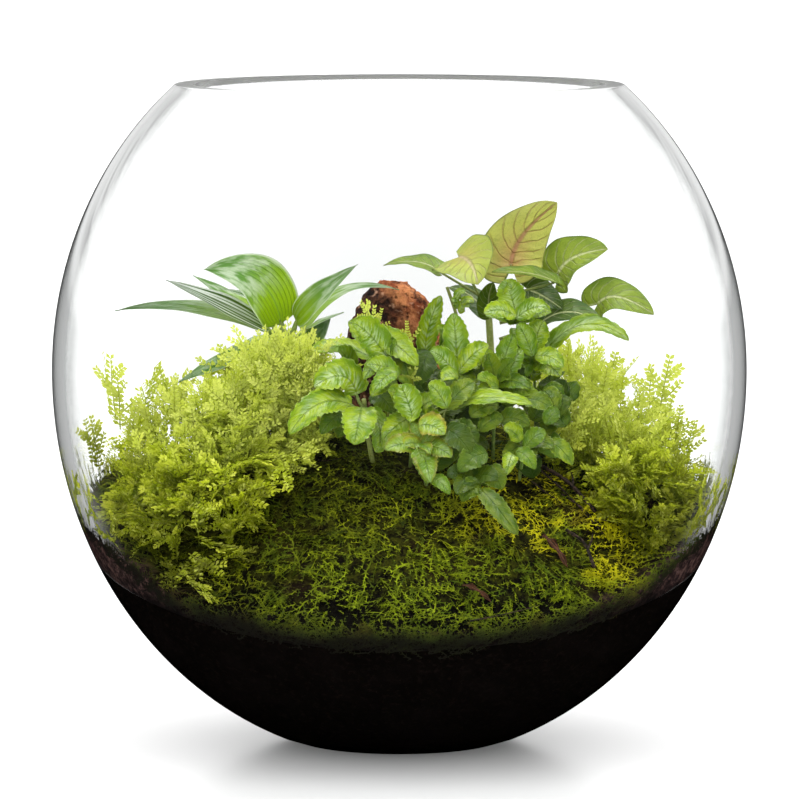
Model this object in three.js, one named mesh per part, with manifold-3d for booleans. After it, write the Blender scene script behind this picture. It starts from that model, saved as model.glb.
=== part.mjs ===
// Glass plant terrarium: a round glass bowl that holds dark soil, a mound of moss, clumps of
// spikemoss, a stone, twigs and three small leafy plants. Millimetres, +Z up.
// The origin is the centre of the flat base on which the bowl stands, and every point below is in
// that frame. The bowl stands as it is used: its front, where the planting is lowest, faces -Y.

import * as THREE from 'three';
import { ParametricGeometry } from 'three/addons/geometries/ParametricGeometry.js';
import { mergeVertices } from 'three/addons/utils/BufferGeometryUtils.js';
import Module from 'manifold-3d';

// The bowl: two half ellipses that meet at its widest circle, cut off flat at the rim and the base.
const BOWL_RADIUS = 150;
const BELLY_HEIGHT = 161;
const UPPER_DOME = 162;
const LOWER_DOME = 168.7;
const RIM_HEIGHT = 285;
const RIM_FLAT = 8;
const WALL = 5.5;
const FLOOR = 8;
const GROUND_EDGE = 0.6;
const BASE_RADIUS = 43;
const BASE_ROUND = 1.5;
const FACETS = 48;
const PROFILE_STEPS = 6;

// The planting: a moss mound, highest a little behind the middle, over soil of the same shape.
const MOUND_TOP = 138;
const MOUND_BACK = 30;
const MOUND_FALL_X = 0.0024;
const MOUND_FALL_Y = 0.0036;
const MOSS_THICKNESS = 12;

const GAP = 0.4;
const MOSS_GAP = 0.9;
const SEAM = 0.05;
const CLUMP_GAP = 0.7;
const BLADE_THICKNESS = 0.9;
const STALK_THICKNESS = 1.2;
const STALK_HALF_WIDTH = 0.7;
const SHOOT_RADIUS = 0.9;
const SHOOT_BOW = 5;

// The stone: its centre and its half length along each axis.
const STONE_AT = [-2, 60, 160];
const STONE_HALF = [21.5, 15, 33];

// A clump's foot is this far from the glass, its skirt this high, and its outline waves this much.
const CLUMP_MARGIN = 3;
const CLUMP_SKIRT = 2;
const CLUMP_WAVE = 0.08;
const CLUMP_BUMP = 0.12;

const wasm = await Module();
wasm.setup();

const terrarium = new THREE.Group();

function finish(color, roughness) {
  return new THREE.MeshStandardMaterial({ color, roughness, metalness: 0 });
}

const GLASS = finish(0xe8efec, 0.03);
const SOIL = finish(0x16110f, 0.95);
const MOSS = finish(0x47500f, 0.9);
const SPIKEMOSS = finish(0x9db32a, 0.7);
const STONE = finish(0x6b3f2a, 0.9);
const TWIG = finish(0x2c1d14, 0.85);
const DRY_LEAF = finish(0x6e3a1e, 0.85);
const STRIPED = finish(0x4f8a2f, 0.35);
const ARROW = finish(0x8aab55, 0.4);
const SCALLOPED = finish(0x5c9a2e, 0.35);
const STALK = finish(0x8a9a4c, 0.5);

function addPiece(name, geometry, material) {
  const piece = new THREE.Mesh(geometry, material);
  piece.name = name;
  terrarium.add(piece);
  return piece;
}

// Closed solids, and the joins and cuts between them.

function toSolid(geometry) {
  const bare = new THREE.BufferGeometry();
  const flat = geometry.index ? geometry.toNonIndexed() : geometry;
  bare.setAttribute('position', flat.getAttribute('position').clone());
  const merged = mergeVertices(bare, 1e-3);
  const solid = new wasm.Manifold(
    new wasm.Mesh({
      numProp: 3,
      vertProperties: new Float32Array(merged.attributes.position.array),
      triVerts: new Uint32Array(merged.index.array),
    }),
  );
  return solid;
}

// Joins and cuts leave slivers along their seams, which are smoothed away within SEAM.
function toGeometry(solid) {
  const mesh = solid.asOriginal().simplify(SEAM).getMesh();
  const geometry = new THREE.BufferGeometry();
  geometry.setAttribute('position', new THREE.BufferAttribute(mesh.vertProperties, 3));
  geometry.setIndex(new THREE.BufferAttribute(mesh.triVerts, 1));
  geometry.computeVertexNormals();
  return geometry;
}

function joined(geometries) {
  const [first, ...others] = geometries.map(toSolid);
  return toGeometry(others.reduce((sum, solid) => sum.add(solid), first));
}

function carved(geometry, cutters) {
  const whole = toSolid(geometry);
  return toGeometry(cutters.map(toSolid).reduce((rest, cutter) => rest.subtract(cutter), whole));
}

// A closed surface of rings: pointAt(u, v) goes round with u, and runs from one pole at v = 0 to
// the other at v = 1. Its faces point out where u turns anticlockwise as seen from the v = 1 pole.
function closedSurface(pointAt, around, along) {
  const place = (u, v, target) => target.copy(pointAt(u, v));
  return new ParametricGeometry(place, around, along);
}

// The same from meridians: meridianAt(angle) lists the [distance, height] points about the axis
// through centre, from the bottom pole to the top pole.
function meridianBody(meridianAt, around, centre = [0, 0]) {
  const meridians = [];
  for (let i = 0; i < around; i += 1) {
    meridians.push(meridianAt((i / around) * 2 * Math.PI));
  }
  const rows = meridians[0].length - 1;
  const pointAt = (u, v) => {
    const i = Math.round(u * around) % around;
    const angle = (i / around) * 2 * Math.PI;
    const [distance, height] = meridians[i][Math.round(v * rows)];
    const x = centre[0] + distance * Math.cos(angle);
    const y = centre[1] + distance * Math.sin(angle);
    return new THREE.Vector3(x, y, height);
  };
  return closedSurface(pointAt, around, rows);
}

// Bowl.

function domeRadius(height, radius, upper, lower) {
  const rise = height - BELLY_HEIGHT;
  const share = rise / (rise > 0 ? upper : lower);
  return radius * Math.sqrt(1 - share * share);
}

const RIM_RADIUS = domeRadius(RIM_HEIGHT, BOWL_RADIUS, UPPER_DOME, LOWER_DOME);
const MOUTH_RADIUS = RIM_RADIUS - RIM_FLAT;
const INNER_RADIUS = BOWL_RADIUS - WALL;
const INNER_LOWER = LOWER_DOME - WALL;
const INNER_UPPER = (RIM_HEIGHT - BELLY_HEIGHT) / Math.sqrt(1 - (MOUTH_RADIUS / INNER_RADIUS) ** 2);

function bowlArc(radius, upper, lower, from, to) {
  const angleAt = (height) => {
    const rise = height - BELLY_HEIGHT;
    return Math.asin(rise / (rise > 0 ? upper : lower));
  };
  const points = [];
  for (const [start, end] of [[from, BELLY_HEIGHT], [BELLY_HEIGHT, to]]) {
    const first = angleAt(start);
    const last = angleAt(end);
    for (let i = 0; i < PROFILE_STEPS; i += 1) {
      const angle = first + ((last - first) * i) / PROFILE_STEPS;
      const dome = angle > 0 ? upper : lower;
      points.push(new THREE.Vector2(radius * Math.cos(angle), BELLY_HEIGHT + dome * Math.sin(angle)));
    }
  }
  points.push(new THREE.Vector2(domeRadius(to, radius, upper, lower), to));
  return points;
}

const OUTER_ARC = bowlArc(BOWL_RADIUS, UPPER_DOME, LOWER_DOME, BASE_ROUND, RIM_HEIGHT - GROUND_EDGE);
const INNER_ARC = bowlArc(INNER_RADIUS, INNER_UPPER, INNER_LOWER, FLOOR, RIM_HEIGHT - GROUND_EDGE);

function glassBowl() {
  const profile = [new THREE.Vector2(0, 0), new THREE.Vector2(BASE_RADIUS, 0)];
  profile.push(...OUTER_ARC);
  profile.push(new THREE.Vector2(RIM_RADIUS - GROUND_EDGE, RIM_HEIGHT));
  profile.push(new THREE.Vector2(MOUTH_RADIUS + GROUND_EDGE, RIM_HEIGHT));
  profile.push(...[...INNER_ARC].reverse());
  profile.push(new THREE.Vector2(0, FLOOR));
  const bowl = new THREE.LatheGeometry(profile, FACETS, Math.PI / 2);
  return bowl.rotateX(Math.PI / 2);
}

// How far the inside of the faceted wall is from the axis at a height.
function wallDistance(height) {
  const above = INNER_ARC.findIndex((point) => point.y > height);
  const high = INNER_ARC[above];
  const low = INNER_ARC[above - 1];
  return low.x + ((high.x - low.x) * (height - low.y)) / (high.y - low.y);
}

// Soil and moss. Both follow one mound, an elliptic paraboloid.

function mossTop(x, y) {
  return MOUND_TOP - MOUND_FALL_X * x * x - MOUND_FALL_Y * (y - MOUND_BACK) ** 2;
}

function soilTop(x, y) {
  return mossTop(x, y) - MOSS_THICKNESS;
}

// The distance from the axis, in one direction, at which a surface meets the inside of the wall.
function reachToWall(surface, angle) {
  let near = 0;
  let far = INNER_RADIUS;
  for (let i = 0; i < 30; i += 1) {
    const middle = (near + far) / 2;
    const height = surface(middle * Math.cos(angle), middle * Math.sin(angle));
    if (middle < wallDistance(height) - GAP) {
      near = middle;
    } else {
      far = middle;
    }
  }
  return near;
}

function surfaceRow(surface, angle, reach, steps, gap) {
  const points = [];
  for (let i = 0; i <= steps; i += 1) {
    const distance = (reach * i) / steps;
    const height = surface(distance * Math.cos(angle), distance * Math.sin(angle));
    points.push([distance, height + gap]);
  }
  return points;
}

// A point a little above the moss, for what lies on it.
function onMoss(x, y, lift) {
  return [x, y, mossTop(x, y) + lift];
}

function soilBody() {
  const bottom = FLOOR + GAP;
  return meridianBody((angle) => {
    const reach = reachToWall(soilTop, angle);
    const top = surfaceRow(soilTop, angle, reach, 4, 0).reverse();
    const points = [[0, bottom]];
    for (let i = 0; i < 5; i += 1) {
      const height = bottom + ((top[0][1] - bottom) * i) / 5;
      points.push([wallDistance(height) - 3 * GAP, height]);
    }
    return [...points, ...top];
  }, FACETS / 2);
}

function mossBody() {
  return meridianBody((angle) => {
    const low = surfaceRow(soilTop, angle, reachToWall(soilTop, angle), 4, MOSS_GAP);
    const high = surfaceRow(mossTop, angle, reachToWall(mossTop, angle), 5, 0).reverse();
    return [...low, ...high];
  }, FACETS / 2);
}

// A clump of spikemoss: a lobed cushion on the moss, no wider than the bowl lets it be.
function clumpBody({ at, radii, height, lobes }) {
  const reachAt = (angle) => {
    const x = Math.cos(angle) / radii[0];
    const y = Math.sin(angle) / radii[1];
    let reach = (1 + CLUMP_WAVE * Math.sin(lobes * angle)) / Math.hypot(x, y);
    const inside = (distance) => {
      const px = at[0] + distance * Math.cos(angle);
      const py = at[1] + distance * Math.sin(angle);
      return Math.hypot(px, py) < wallDistance(mossTop(px, py)) - CLUMP_MARGIN;
    };
    while (!inside(reach)) {
      reach -= 0.5;
    }
    return reach;
  };
  return meridianBody((angle) => {
    const reach = reachAt(angle);
    const pointAt = (share, lift) => {
      const x = at[0] + reach * share * Math.cos(angle);
      const y = at[1] + reach * share * Math.sin(angle);
      return [reach * share, mossTop(x, y) + CLUMP_GAP + lift];
    };
    const points = [0, 0.5, 0.94].map((share) => pointAt(share, 0));
    for (const share of [1, 0.9, 0.7, 0.4, 0]) {
      const dome = Math.sqrt(1 - share ** 4);
      const bump = 1 + CLUMP_BUMP * share * Math.sin((lobes + 1) * angle);
      points.push(pointAt(share, CLUMP_SKIRT + height * dome * bump));
    }
    return points;
  }, 14, at);
}

// Stone, twigs and stalks.

// The stone is a ball made blunt at both ends, a little narrower at the top, with hollows in it.
function stoneBody(grow) {
  const stone = new THREE.SphereGeometry(1, 12, 8);
  const position = stone.getAttribute('position');
  const point = new THREE.Vector3();
  for (let i = 0; i < position.count; i += 1) {
    point.fromBufferAttribute(position, i);
    const across = 0.09 * Math.sin(5.1 * point.x + 2) * Math.cos(4.3 * point.z);
    const chip = across + 0.07 * Math.sin(6 * point.y + 1);
    const size = 1 + chip;
    const girth = (1 - 0.1 * point.y) * (1 + point.y * point.y) ** 0.8;
    const rise = point.y * (1.12 - 0.14 * point.y * point.y);
    const [halfX, halfY, halfZ] = STONE_HALF;
    point.set(point.x * halfX * girth, -point.z * halfY * girth, rise * halfZ).multiplyScalar(size);
    point.addScaledVector(point.clone().normalize(), grow);
    position.setXYZ(i, point.x + STONE_AT[0], point.y + STONE_AT[1], point.z + STONE_AT[2]);
  }
  return stone;
}

function rod(points, radius, steps, sides = 6) {
  const path = new THREE.CatmullRomCurve3(points.map((point) => new THREE.Vector3(...point)));
  const round = new THREE.Shape().absarc(0, 0, radius, 0, 2 * Math.PI);
  const section = new THREE.Shape(round.getSpacedPoints(sides).slice(0, sides));
  return new THREE.ExtrudeGeometry(section, { steps, extrudePath: path, curveSegments: 1 });
}

// Leaves. A blade has rings of four points: its two edges, and the midrib's top and bottom. It may
// begin with a stalk. Its width along the blade is blunt ** and sharp ** powers that peak at 1.
const BLADES = {
  strap: { blunt: 0.55, sharp: 1.1, cup: 0.3, lobe: 0, rings: 7 },
  arrow: { blunt: 0.22, sharp: 0.85, cup: 0.22, lobe: 0.3, rings: 7 },
  scallop: { blunt: 0.5, sharp: 0.5, cup: 0.18, lobe: 0, rings: 6 },
};

function widthShare(share, { blunt, sharp }) {
  const peak = blunt / (blunt + sharp);
  return (share / peak) ** blunt * ((1 - share) / (1 - peak)) ** sharp;
}

function midribCurve(root, middle, tip) {
  const [start, through, end] = [root, middle, tip].map((point) => new THREE.Vector3(...point));
  const control = through.multiplyScalar(2).addScaledVector(start, -0.5).addScaledVector(end, -0.5);
  return new THREE.QuadraticBezierCurve3(start, control, end);
}

function leafRings({ points, width, facing, cup }, kind, grow) {
  const blade = BLADES[kind];
  const [root, middle, tip] = points.slice(-3);
  const rib = midribCurve(root, middle, tip);
  const rings = [];
  const addRing = (centre, tangent, half, thickness, lift, sweep) => {
    const face = new THREE.Vector3(...facing);
    face.addScaledVector(tangent, -face.dot(tangent)).normalize();
    const side = new THREE.Vector3().crossVectors(tangent, face);
    const edge = (sign) => {
      const point = centre.clone().addScaledVector(side, sign * (half + grow));
      return point.addScaledVector(face, lift).addScaledVector(tangent, -sweep);
    };
    const ridge = (sign) => centre.clone().addScaledVector(face, sign * (thickness / 2 + grow));
    rings.push([edge(-1), ridge(1), edge(1), ridge(-1)]);
  };
  if (points.length > 3) {
    const start = new THREE.Vector3(...points[0]);
    const way = new THREE.Vector3(...root).sub(start);
    const tangent = way.clone().normalize();
    rings.push([start]);
    for (const share of [0.1, 0.5, 0.95]) {
      const centre = start.clone().addScaledVector(way, share);
      addRing(centre, tangent, STALK_HALF_WIDTH, STALK_THICKNESS, 0, 0);
    }
  } else {
    rings.push([new THREE.Vector3(...root)]);
  }
  for (let i = 1; i <= blade.rings; i += 1) {
    const share = (i - 0.5) / (blade.rings + 0.2);
    const half = (width / 2) * widthShare(share, blade);
    const sweep = blade.lobe * width * (1 - share) ** 4;
    const thickness = BLADE_THICKNESS * (1 - 0.5 * share);
    addRing(rib.getPoint(share), rib.getTangent(share), half, thickness, cup * half, sweep);
  }
  rings.push([new THREE.Vector3(...tip)]);
  return rings;
}

// Each quad of a blade is split from its edge forward to the midrib, above and below alike, so that
// a twisted blade's two sides don't pass through each other.
function leafBody(leaf, kind, grow = 0) {
  const rings = leafRings({ cup: BLADES[kind].cup, ...leaf }, kind, grow);
  const last = rings.length - 1;
  const pointAt = (u, v) => {
    const ring = rings[Math.round(v * last)];
    return ring[Math.round(u * 4) % ring.length];
  };
  const body = closedSurface(pointAt, 4, last);
  const corners = body.index.array;
  for (let i = 0; i < corners.length; i += 12) {
    const [a, b, d, , c] = corners.slice(i, i + 5);
    corners.set([a, b, c, a, c, d], i);
  }
  return body;
}

// Each leaf: its points (a stalk's foot where it has one, then root, middle and tip of the
// midrib), its width, the way its upper face looks, and its cup where that differs.
const STRIPED_LEAVES = {
  broad: { points: [[-52, 26, 179], [-63, 14, 199], [-85, 8, 204]], width: 26, facing: [0.3, -0.9, 0.4] },
  upright: {
    points: [[-45, 24, 180], [-35, 16, 192], [-18, 12, 206]],
    width: 13,
    facing: [-0.4, -0.8, 0.4],
  },
  low: { points: [[-59, 27, 176], [-91, 22, 186], [-125, 24, 185]], width: 11, facing: [0, -0.5, 0.85] },
  white: { points: [[-57, 20, 177], [-77, 8, 189], [-101, 2, 200]], width: 12, facing: [0.3, -0.7, 0.7] },
  behind: {
    points: [[-56, 36, 178], [-76, 40, 190], [-91, 42, 199]],
    width: 9,
    facing: [0.2, -0.5, 0.8],
  },
  inner: { points: [[-53, 31, 184], [-64, 30, 190], [-77, 29, 194]], width: 5, facing: [0.4, -0.6, 0.6] },
  short: { points: [[-42, 20, 176], [-34, 10, 181], [-24, 2, 186]], width: 6, facing: [-0.2, -0.5, 0.9] },
  long: { points: [[-43, 33, 175], [-25, 40, 192], [0, 36, 193]], width: 8, facing: [0, -0.5, 0.85] },
  shaded: { points: [[-56, 20, 170], [-75, 8, 164], [-96, -4, 156]], width: 14, facing: [0, -0.4, 0.9] },
  under: { points: [[-52, 22, 170], [-59, 10, 173], [-69, 2, 172]], width: 8, facing: [0, -0.6, 0.8] },
  back: { points: [[-41, 34, 168], [-36, 36, 174], [-30, 40, 181]], width: 9, facing: [0, -0.9, 0.3] },
};

const ARROW_LEAVES = {
  upright: {
    points: [[41, 32, 187], [49, 30, 204], [54, 32, 217], [69, 26, 232]],
    width: 29,
    facing: [-0.2, -1, -0.1],
  },
  folded: {
    points: [[37, 34, 187], [26, 27, 208], [31, 14, 206], [34, 1, 198]],
    width: 28,
    facing: [-0.42, -0.45, 0.8],
    cup: -0.2,
  },
  narrow: {
    points: [[36, 37, 190], [16, 36, 202], [6, 40, 205], [-7, 46, 203]],
    width: 14,
    facing: [0, -0.35, 0.95],
  },
  right: {
    points: [[44, 34, 186], [70, 32, 201], [77, 28, 208], [91, 20, 212]],
    width: 24,
    facing: [-0.2, -0.75, 0.6],
  },
  far_right: {
    points: [[44, 30, 179], [87, 24, 188], [96, 20, 191], [111, 14, 184]],
    width: 19,
    facing: [0.1, -0.8, 0.6],
  },
  level: {
    points: [[42, 28, 190], [68, 14, 198], [56, 11, 202], [40, 7, 203]],
    width: 15,
    facing: [0, -0.3, 0.95],
  },
  dark: {
    points: [[43, 31, 183], [56, 28, 194], [63, 24, 191], [71, 17, 186]],
    width: 15,
    facing: [0.2, -0.85, 0.4],
  },
  low: {
    points: [[44, 30, 172], [61, 22, 179], [74, 14, 185], [88, 8, 180]],
    width: 17,
    facing: [0, -0.6, 0.8],
  },
  inner: { points: [[38, 38, 183], [31, 44, 190], [22, 50, 193]], width: 12, facing: [0, -0.6, 0.8] },
  back: { points: [[40, 27, 184], [39, 20, 191], [41, 14, 198]], width: 11, facing: [0, -1, 0.2] },
};

const SCALLOPED_LEAVES = {
  left_high: {
    points: [[-18, -47, 155], [-24, -50, 163], [-36, -53, 159]],
    width: 18,
    facing: [0.1, -0.75, 0.65],
  },
  left_long: {
    points: [[-20, -51, 151], [-34, -58, 152], [-46, -65, 140]],
    width: 14,
    facing: [0, -0.8, 0.6],
  },
  left_down: {
    points: [[-16, -52, 150], [-17, -63, 145], [-19, -68, 136]],
    width: 16,
    facing: [0, -0.95, 0.3],
  },
  left_small: {
    points: [[-12, -49, 150], [-8, -56, 140], [-10, -60, 132]],
    width: 10,
    facing: [0.2, -0.9, 0.3],
  },
  rear_left: {
    points: [[-10, -20, 167], [-25, -24, 173], [-38, -30, 171]],
    width: 12,
    facing: [0, -0.55, 0.85],
  },
  rear_high: {
    points: [[-8, -16, 168], [-12, -13, 176], [-22, -12, 183]],
    width: 16,
    facing: [0.1, -0.85, 0.5],
  },
  rear_right: {
    points: [[8, -8, 165], [0, -6, 172], [-6, -2, 180]],
    width: 9,
    facing: [-0.1, -0.8, 0.6],
  },
  tall: {
    points: [[10, -2, 150], [11, -3, 168], [13, -5, 181], [18, -8, 194]],
    width: 10,
    facing: [0, -1, 0.2],
  },
  far_long: {
    points: [[62, -12, 169], [79, -16, 182], [98, -24, 176]],
    width: 12,
    facing: [0, -0.6, 0.8],
  },
  middle_long: {
    points: [[11, -48, 145], [22, -44, 149], [37, -50, 154], [56, -58, 152]],
    width: 10,
    facing: [0, -0.6, 0.8],
  },
  middle_dark: {
    points: [[16, -33, 127], [19, -37, 146], [25, -34, 152], [30, -33, 158]],
    width: 11,
    facing: [0, -0.9, 0.4],
  },
  hanging: {
    points: [[34, -74, 118], [41, -84, 111], [49, -92, 101]],
    width: 9,
    facing: [0, -0.85, 0.5],
  },
};

// Shoots: a stem from its foot in the moss to its head, where leaves spread to the tips given.
const SHOOTS = {
  shoot_centre: {
    foot: [4, -24, 112],
    head: [7, -51, 146],
    tips: [[-5, -57, 158], [-7, -61, 137], [17, -62, 141], [15, -57, 153]],
    width: 12,
  },
  shoot_low: {
    foot: [12, -40, 108],
    head: [9, -62, 134],
    tips: [[-6, -70, 134], [13, -76, 121], [22, -70, 131]],
    width: 11,
  },
  shoot_middle: {
    foot: [22, 0, 112],
    head: [25, -17, 161],
    tips: [[23, -20, 186], [13, -25, 171], [41, -25, 170], [31, -29, 155]],
    width: 10,
  },
  shoot_upper: {
    foot: [46, 8, 112],
    head: [51, -10, 183],
    tips: [[37, -18, 186], [65, -19, 187.5], [47, -15, 201]],
    width: 11,
  },
  shoot_right: {
    foot: [60, 8, 108],
    head: [58, -8, 165],
    tips: [[58, -12, 182], [69, -18, 160], [46, -12, 157]],
    width: 12,
  },
  shoot_glossy: {
    foot: [40, -12, 110],
    head: [41, -31, 158],
    tips: [[37, -36, 171], [31, -40, 154], [55, -39, 157], [49, -37, 168]],
    width: 9,
  },
  shoot_round: {
    foot: [50, -24, 104],
    head: [54, -46, 134],
    tips: [[44, -54, 127], [55, -58, 126], [65, -54, 133], [49, -54, 142]],
    width: 9,
  },
  shoot_creeping: {
    foot: [30, -44, 104],
    head: [31, -68, 121],
    tips: [[41, -75, 122], [24, -77, 116], [20, -70, 123]],
    width: 10,
  },
};

// A shoot's stem bows up a little between its foot and its head.
function shootStem({ foot, head }, grow = 0) {
  const bend = foot.map((value, i) => (value + head[i]) / 2);
  bend[2] += SHOOT_BOW;
  return rod([foot, bend, head], SHOOT_RADIUS + grow, 5);
}

function shootBody(shoot) {
  const { foot, head, tips, width } = shoot;
  const root = head.map((value, i) => value + 0.05 * (foot[i] - value));
  const leaves = tips.map((tip) => {
    const middle = head.map((value, i) => (value + tip[i]) / 2);
    middle[2] += 2;
    return leafBody({ points: [root, middle, tip], width, facing: [0, -0.8, 0.6] }, 'scallop');
  });
  return joined([shootStem(shoot), ...leaves]);
}

// Stems that stand in the soil: each one's points and radius.
const STEMS = {
  striped_stem: { points: [[-46, 30, 104], [-47, 29, 140], [-49, 27, 175]], radius: 2.6 },
  arrow_stem: { points: [[42, 36, 104], [41, 33, 150], [39, 33, 186]], radius: 1.7 },
  vine_stem: { points: [[31, 46, 110], [28, 42, 170], [25, 41, 182], [21, 39, 194]], radius: 0.8 },
  front_stem: { points: [[-8, -20, 108], [-13, -36, 134], [-15, -46, 153]], radius: 1.1 },
  rear_stem: { points: [[-4, -4, 112], [-4, -10, 142], [-6, -16, 165]], radius: 1.1 },
};

const CLUMPS = {
  spikemoss_left_front: { at: [-92, -48], radii: [36, 40], height: 36, lobes: 5 },
  spikemoss_left_back: { at: [-96, 46], radii: [36, 40], height: 30, lobes: 4 },
  spikemoss_left_crest: { at: [-49, -3], radii: [23, 23], height: 32, lobes: 3 },
  spikemoss_right_front: { at: [111, -33], radii: [24, 30], height: 30, lobes: 4 },
  spikemoss_right_back: { at: [92, 42], radii: [36, 36], height: 34, lobes: 5 },
};

const TWIGS = {
  twig_long: { points: [onMoss(56, -20, 2), onMoss(71, -30, 3), onMoss(83, -43, 2)], radius: 0.9 },
  twig_short: { points: [onMoss(70, -60, 1.5), onMoss(77, -64, 2), onMoss(81, -74, 1.5)], radius: 0.7 },
};

const DRY_LEAVES = {
  dry_leaf_right: {
    points: [onMoss(60, -66, 1.5), onMoss(65, -71, 2.5), onMoss(70, -78, 1.5)],
    width: 7,
    facing: [0, -0.6, 0.8],
  },
  dry_leaf_centre: {
    points: [onMoss(26, -96, 1.5), onMoss(32, -98, 2.5), onMoss(38, -101, 1.5)],
    width: 5,
    facing: [0, -0.7, 0.7],
  },
};

const mossCutters = [stoneBody(GAP)];
const soilCutters = [stoneBody(GAP)];
for (const { points, radius } of Object.values(STEMS)) {
  mossCutters.push(rod(points, radius + GAP, 8));
  soilCutters.push(rod(points, radius + GAP, 8));
}
for (const shoot of Object.values(SHOOTS)) {
  mossCutters.push(shootStem(shoot, GAP));
  soilCutters.push(shootStem(shoot, GAP));
}

addPiece('glass_bowl', glassBowl(), GLASS);
addPiece('soil', carved(soilBody(), soilCutters), SOIL);
addPiece('moss_carpet', carved(mossBody(), mossCutters), MOSS);
addPiece('stone', stoneBody(0), STONE);
for (const [name, clump] of Object.entries(CLUMPS)) {
  addPiece(name, clumpBody(clump), SPIKEMOSS);
}
for (const [name, stem] of Object.entries(STEMS)) {
  addPiece(name, rod(stem.points, stem.radius, 8), STALK);
}
for (const [name, leaf] of Object.entries(STRIPED_LEAVES)) {
  addPiece(`striped_leaf_${name}`, leafBody(leaf, 'strap'), STRIPED);
}
for (const [name, leaf] of Object.entries(ARROW_LEAVES)) {
  addPiece(`arrow_leaf_${name}`, leafBody(leaf, 'arrow'), ARROW);
}
for (const [name, leaf] of Object.entries(SCALLOPED_LEAVES)) {
  addPiece(`scalloped_leaf_${name}`, leafBody(leaf, 'scallop'), SCALLOPED);
}
for (const [name, shoot] of Object.entries(SHOOTS)) {
  addPiece(name, shootBody(shoot), SCALLOPED);
}
for (const [name, twig] of Object.entries(TWIGS)) {
  addPiece(name, rod(twig.points, twig.radius, 6), TWIG);
}
for (const [name, leaf] of Object.entries(DRY_LEAVES)) {
  addPiece(name, leafBody(leaf, 'scallop'), DRY_LEAF);
}

export default terrarium;
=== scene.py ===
"""A glass plant terrarium: a round bowl of clear glass with soil, moss, spikemoss, a stone and
three small leafy plants in it. Metres, +Z up, the front faces -Y."""

import math

import bpy
import numpy as np
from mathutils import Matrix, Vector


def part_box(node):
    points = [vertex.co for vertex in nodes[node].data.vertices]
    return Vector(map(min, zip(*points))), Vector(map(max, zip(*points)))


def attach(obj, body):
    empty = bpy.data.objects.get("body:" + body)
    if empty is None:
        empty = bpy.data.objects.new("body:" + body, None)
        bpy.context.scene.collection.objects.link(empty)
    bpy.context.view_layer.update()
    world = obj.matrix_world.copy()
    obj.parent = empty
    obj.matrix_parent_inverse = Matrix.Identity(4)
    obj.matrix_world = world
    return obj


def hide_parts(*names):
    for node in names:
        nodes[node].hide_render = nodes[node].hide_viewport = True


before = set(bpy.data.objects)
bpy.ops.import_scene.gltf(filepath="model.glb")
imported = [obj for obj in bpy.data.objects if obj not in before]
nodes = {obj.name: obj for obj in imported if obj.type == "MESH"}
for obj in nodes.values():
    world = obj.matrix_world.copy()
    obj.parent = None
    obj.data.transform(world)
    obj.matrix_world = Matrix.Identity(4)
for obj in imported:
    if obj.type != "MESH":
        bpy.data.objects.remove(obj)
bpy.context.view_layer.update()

MM = 0.001
TURN = 2 * math.pi
UP = np.array([0, 0, 1.0])
LEVEL = np.array([1.0, 1.0, 0])
FRONT = np.array([0, -0.8, 0.6])


# ---------------------------------------------------------------- small maths


def unit(vectors):
    """Each row divided by its length."""
    return vectors / np.maximum(np.linalg.norm(vectors, axis=-1, keepdims=True), 1e-12)


def smooth_step(value, low, high):
    """0 below low, 1 above high, and 3t^2 - 2t^3 between them."""
    t = np.clip((value - low) / (high - low), 0, 1)
    return t * t * (3 - 2 * t)


def ripple(points, size, seed, octaves=3):
    """Smooth noise of about -1 to 1: sines along random directions, whose wavelength starts at
    size and whose height halves with each octave."""
    waves = np.random.default_rng(seed)
    total = np.zeros(points.shape[:-1])
    for octave in range(octaves):
        for _ in range(5):
            way = unit(waves.normal(size=3)) * TURN / size * 2**octave * waves.uniform(0.75, 1.3)
            total += np.sin(points @ way + waves.uniform(0, TURN)) * 0.5**octave
    return total / 4


def through(points, count):
    """A smooth curve through points: Catmull-Rom spans, sampled evenly in the parameter."""
    points = np.asarray(points, float)
    ends = np.vstack([2 * points[:1] - points[1:2], points, 2 * points[-1:] - points[-2:-1]])
    where = np.linspace(0, len(points) - 1, count)
    first = np.minimum(where.astype(int), len(points) - 2)
    t = (where - first)[:, None]
    a, b, c, d = (ends[first + k] for k in range(4))
    return 0.5 * (2 * b + (c - a) * t + (2 * a - 5 * b + 4 * c - d) * t**2 + (3 * b - a - 3 * c + d) * t**3)


def parabola(start, corner, end, rows):
    """Points on the parabola from start to end that touches both sides of a corner:
    (1 - t)^2 start + 2 t (1 - t) corner + t^2 end."""
    t = np.linspace(0, 1, rows)[:, None]
    return (1 - t) ** 2 * start + 2 * t * (1 - t) * corner + t**2 * end


# ---------------------------------------------------------------- meshes


def ring_faces(rows, around):
    """The quads between rows of closed rings, and the fans that close them on a first and a last
    point. The points come in the order first, rings, last."""
    i = np.arange(rows - 1)[:, None] * around + 1
    j = np.arange(around)[None]
    k = (j + 1) % around
    quads = np.stack([i + j, i + k, i + around + k, i + around + j], -1).reshape(-1, 4)
    last = rows * around + 1
    far = last - around
    j, k = j[0], k[0]
    start = np.stack([np.zeros_like(j), k + 1, j + 1], -1)
    end = np.stack([np.full_like(j, last), far + j, far + k], -1)
    return [quads, np.vstack([start, end])]


def closed_tube(rings, first, last):
    """The points and faces of rings, an array (rows, around, 3), closed on a point at each end."""
    rings = np.asarray(rings)
    points = np.vstack([[first], rings.reshape(-1, 3), [last]])
    return points, ring_faces(*rings.shape[:2])


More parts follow.
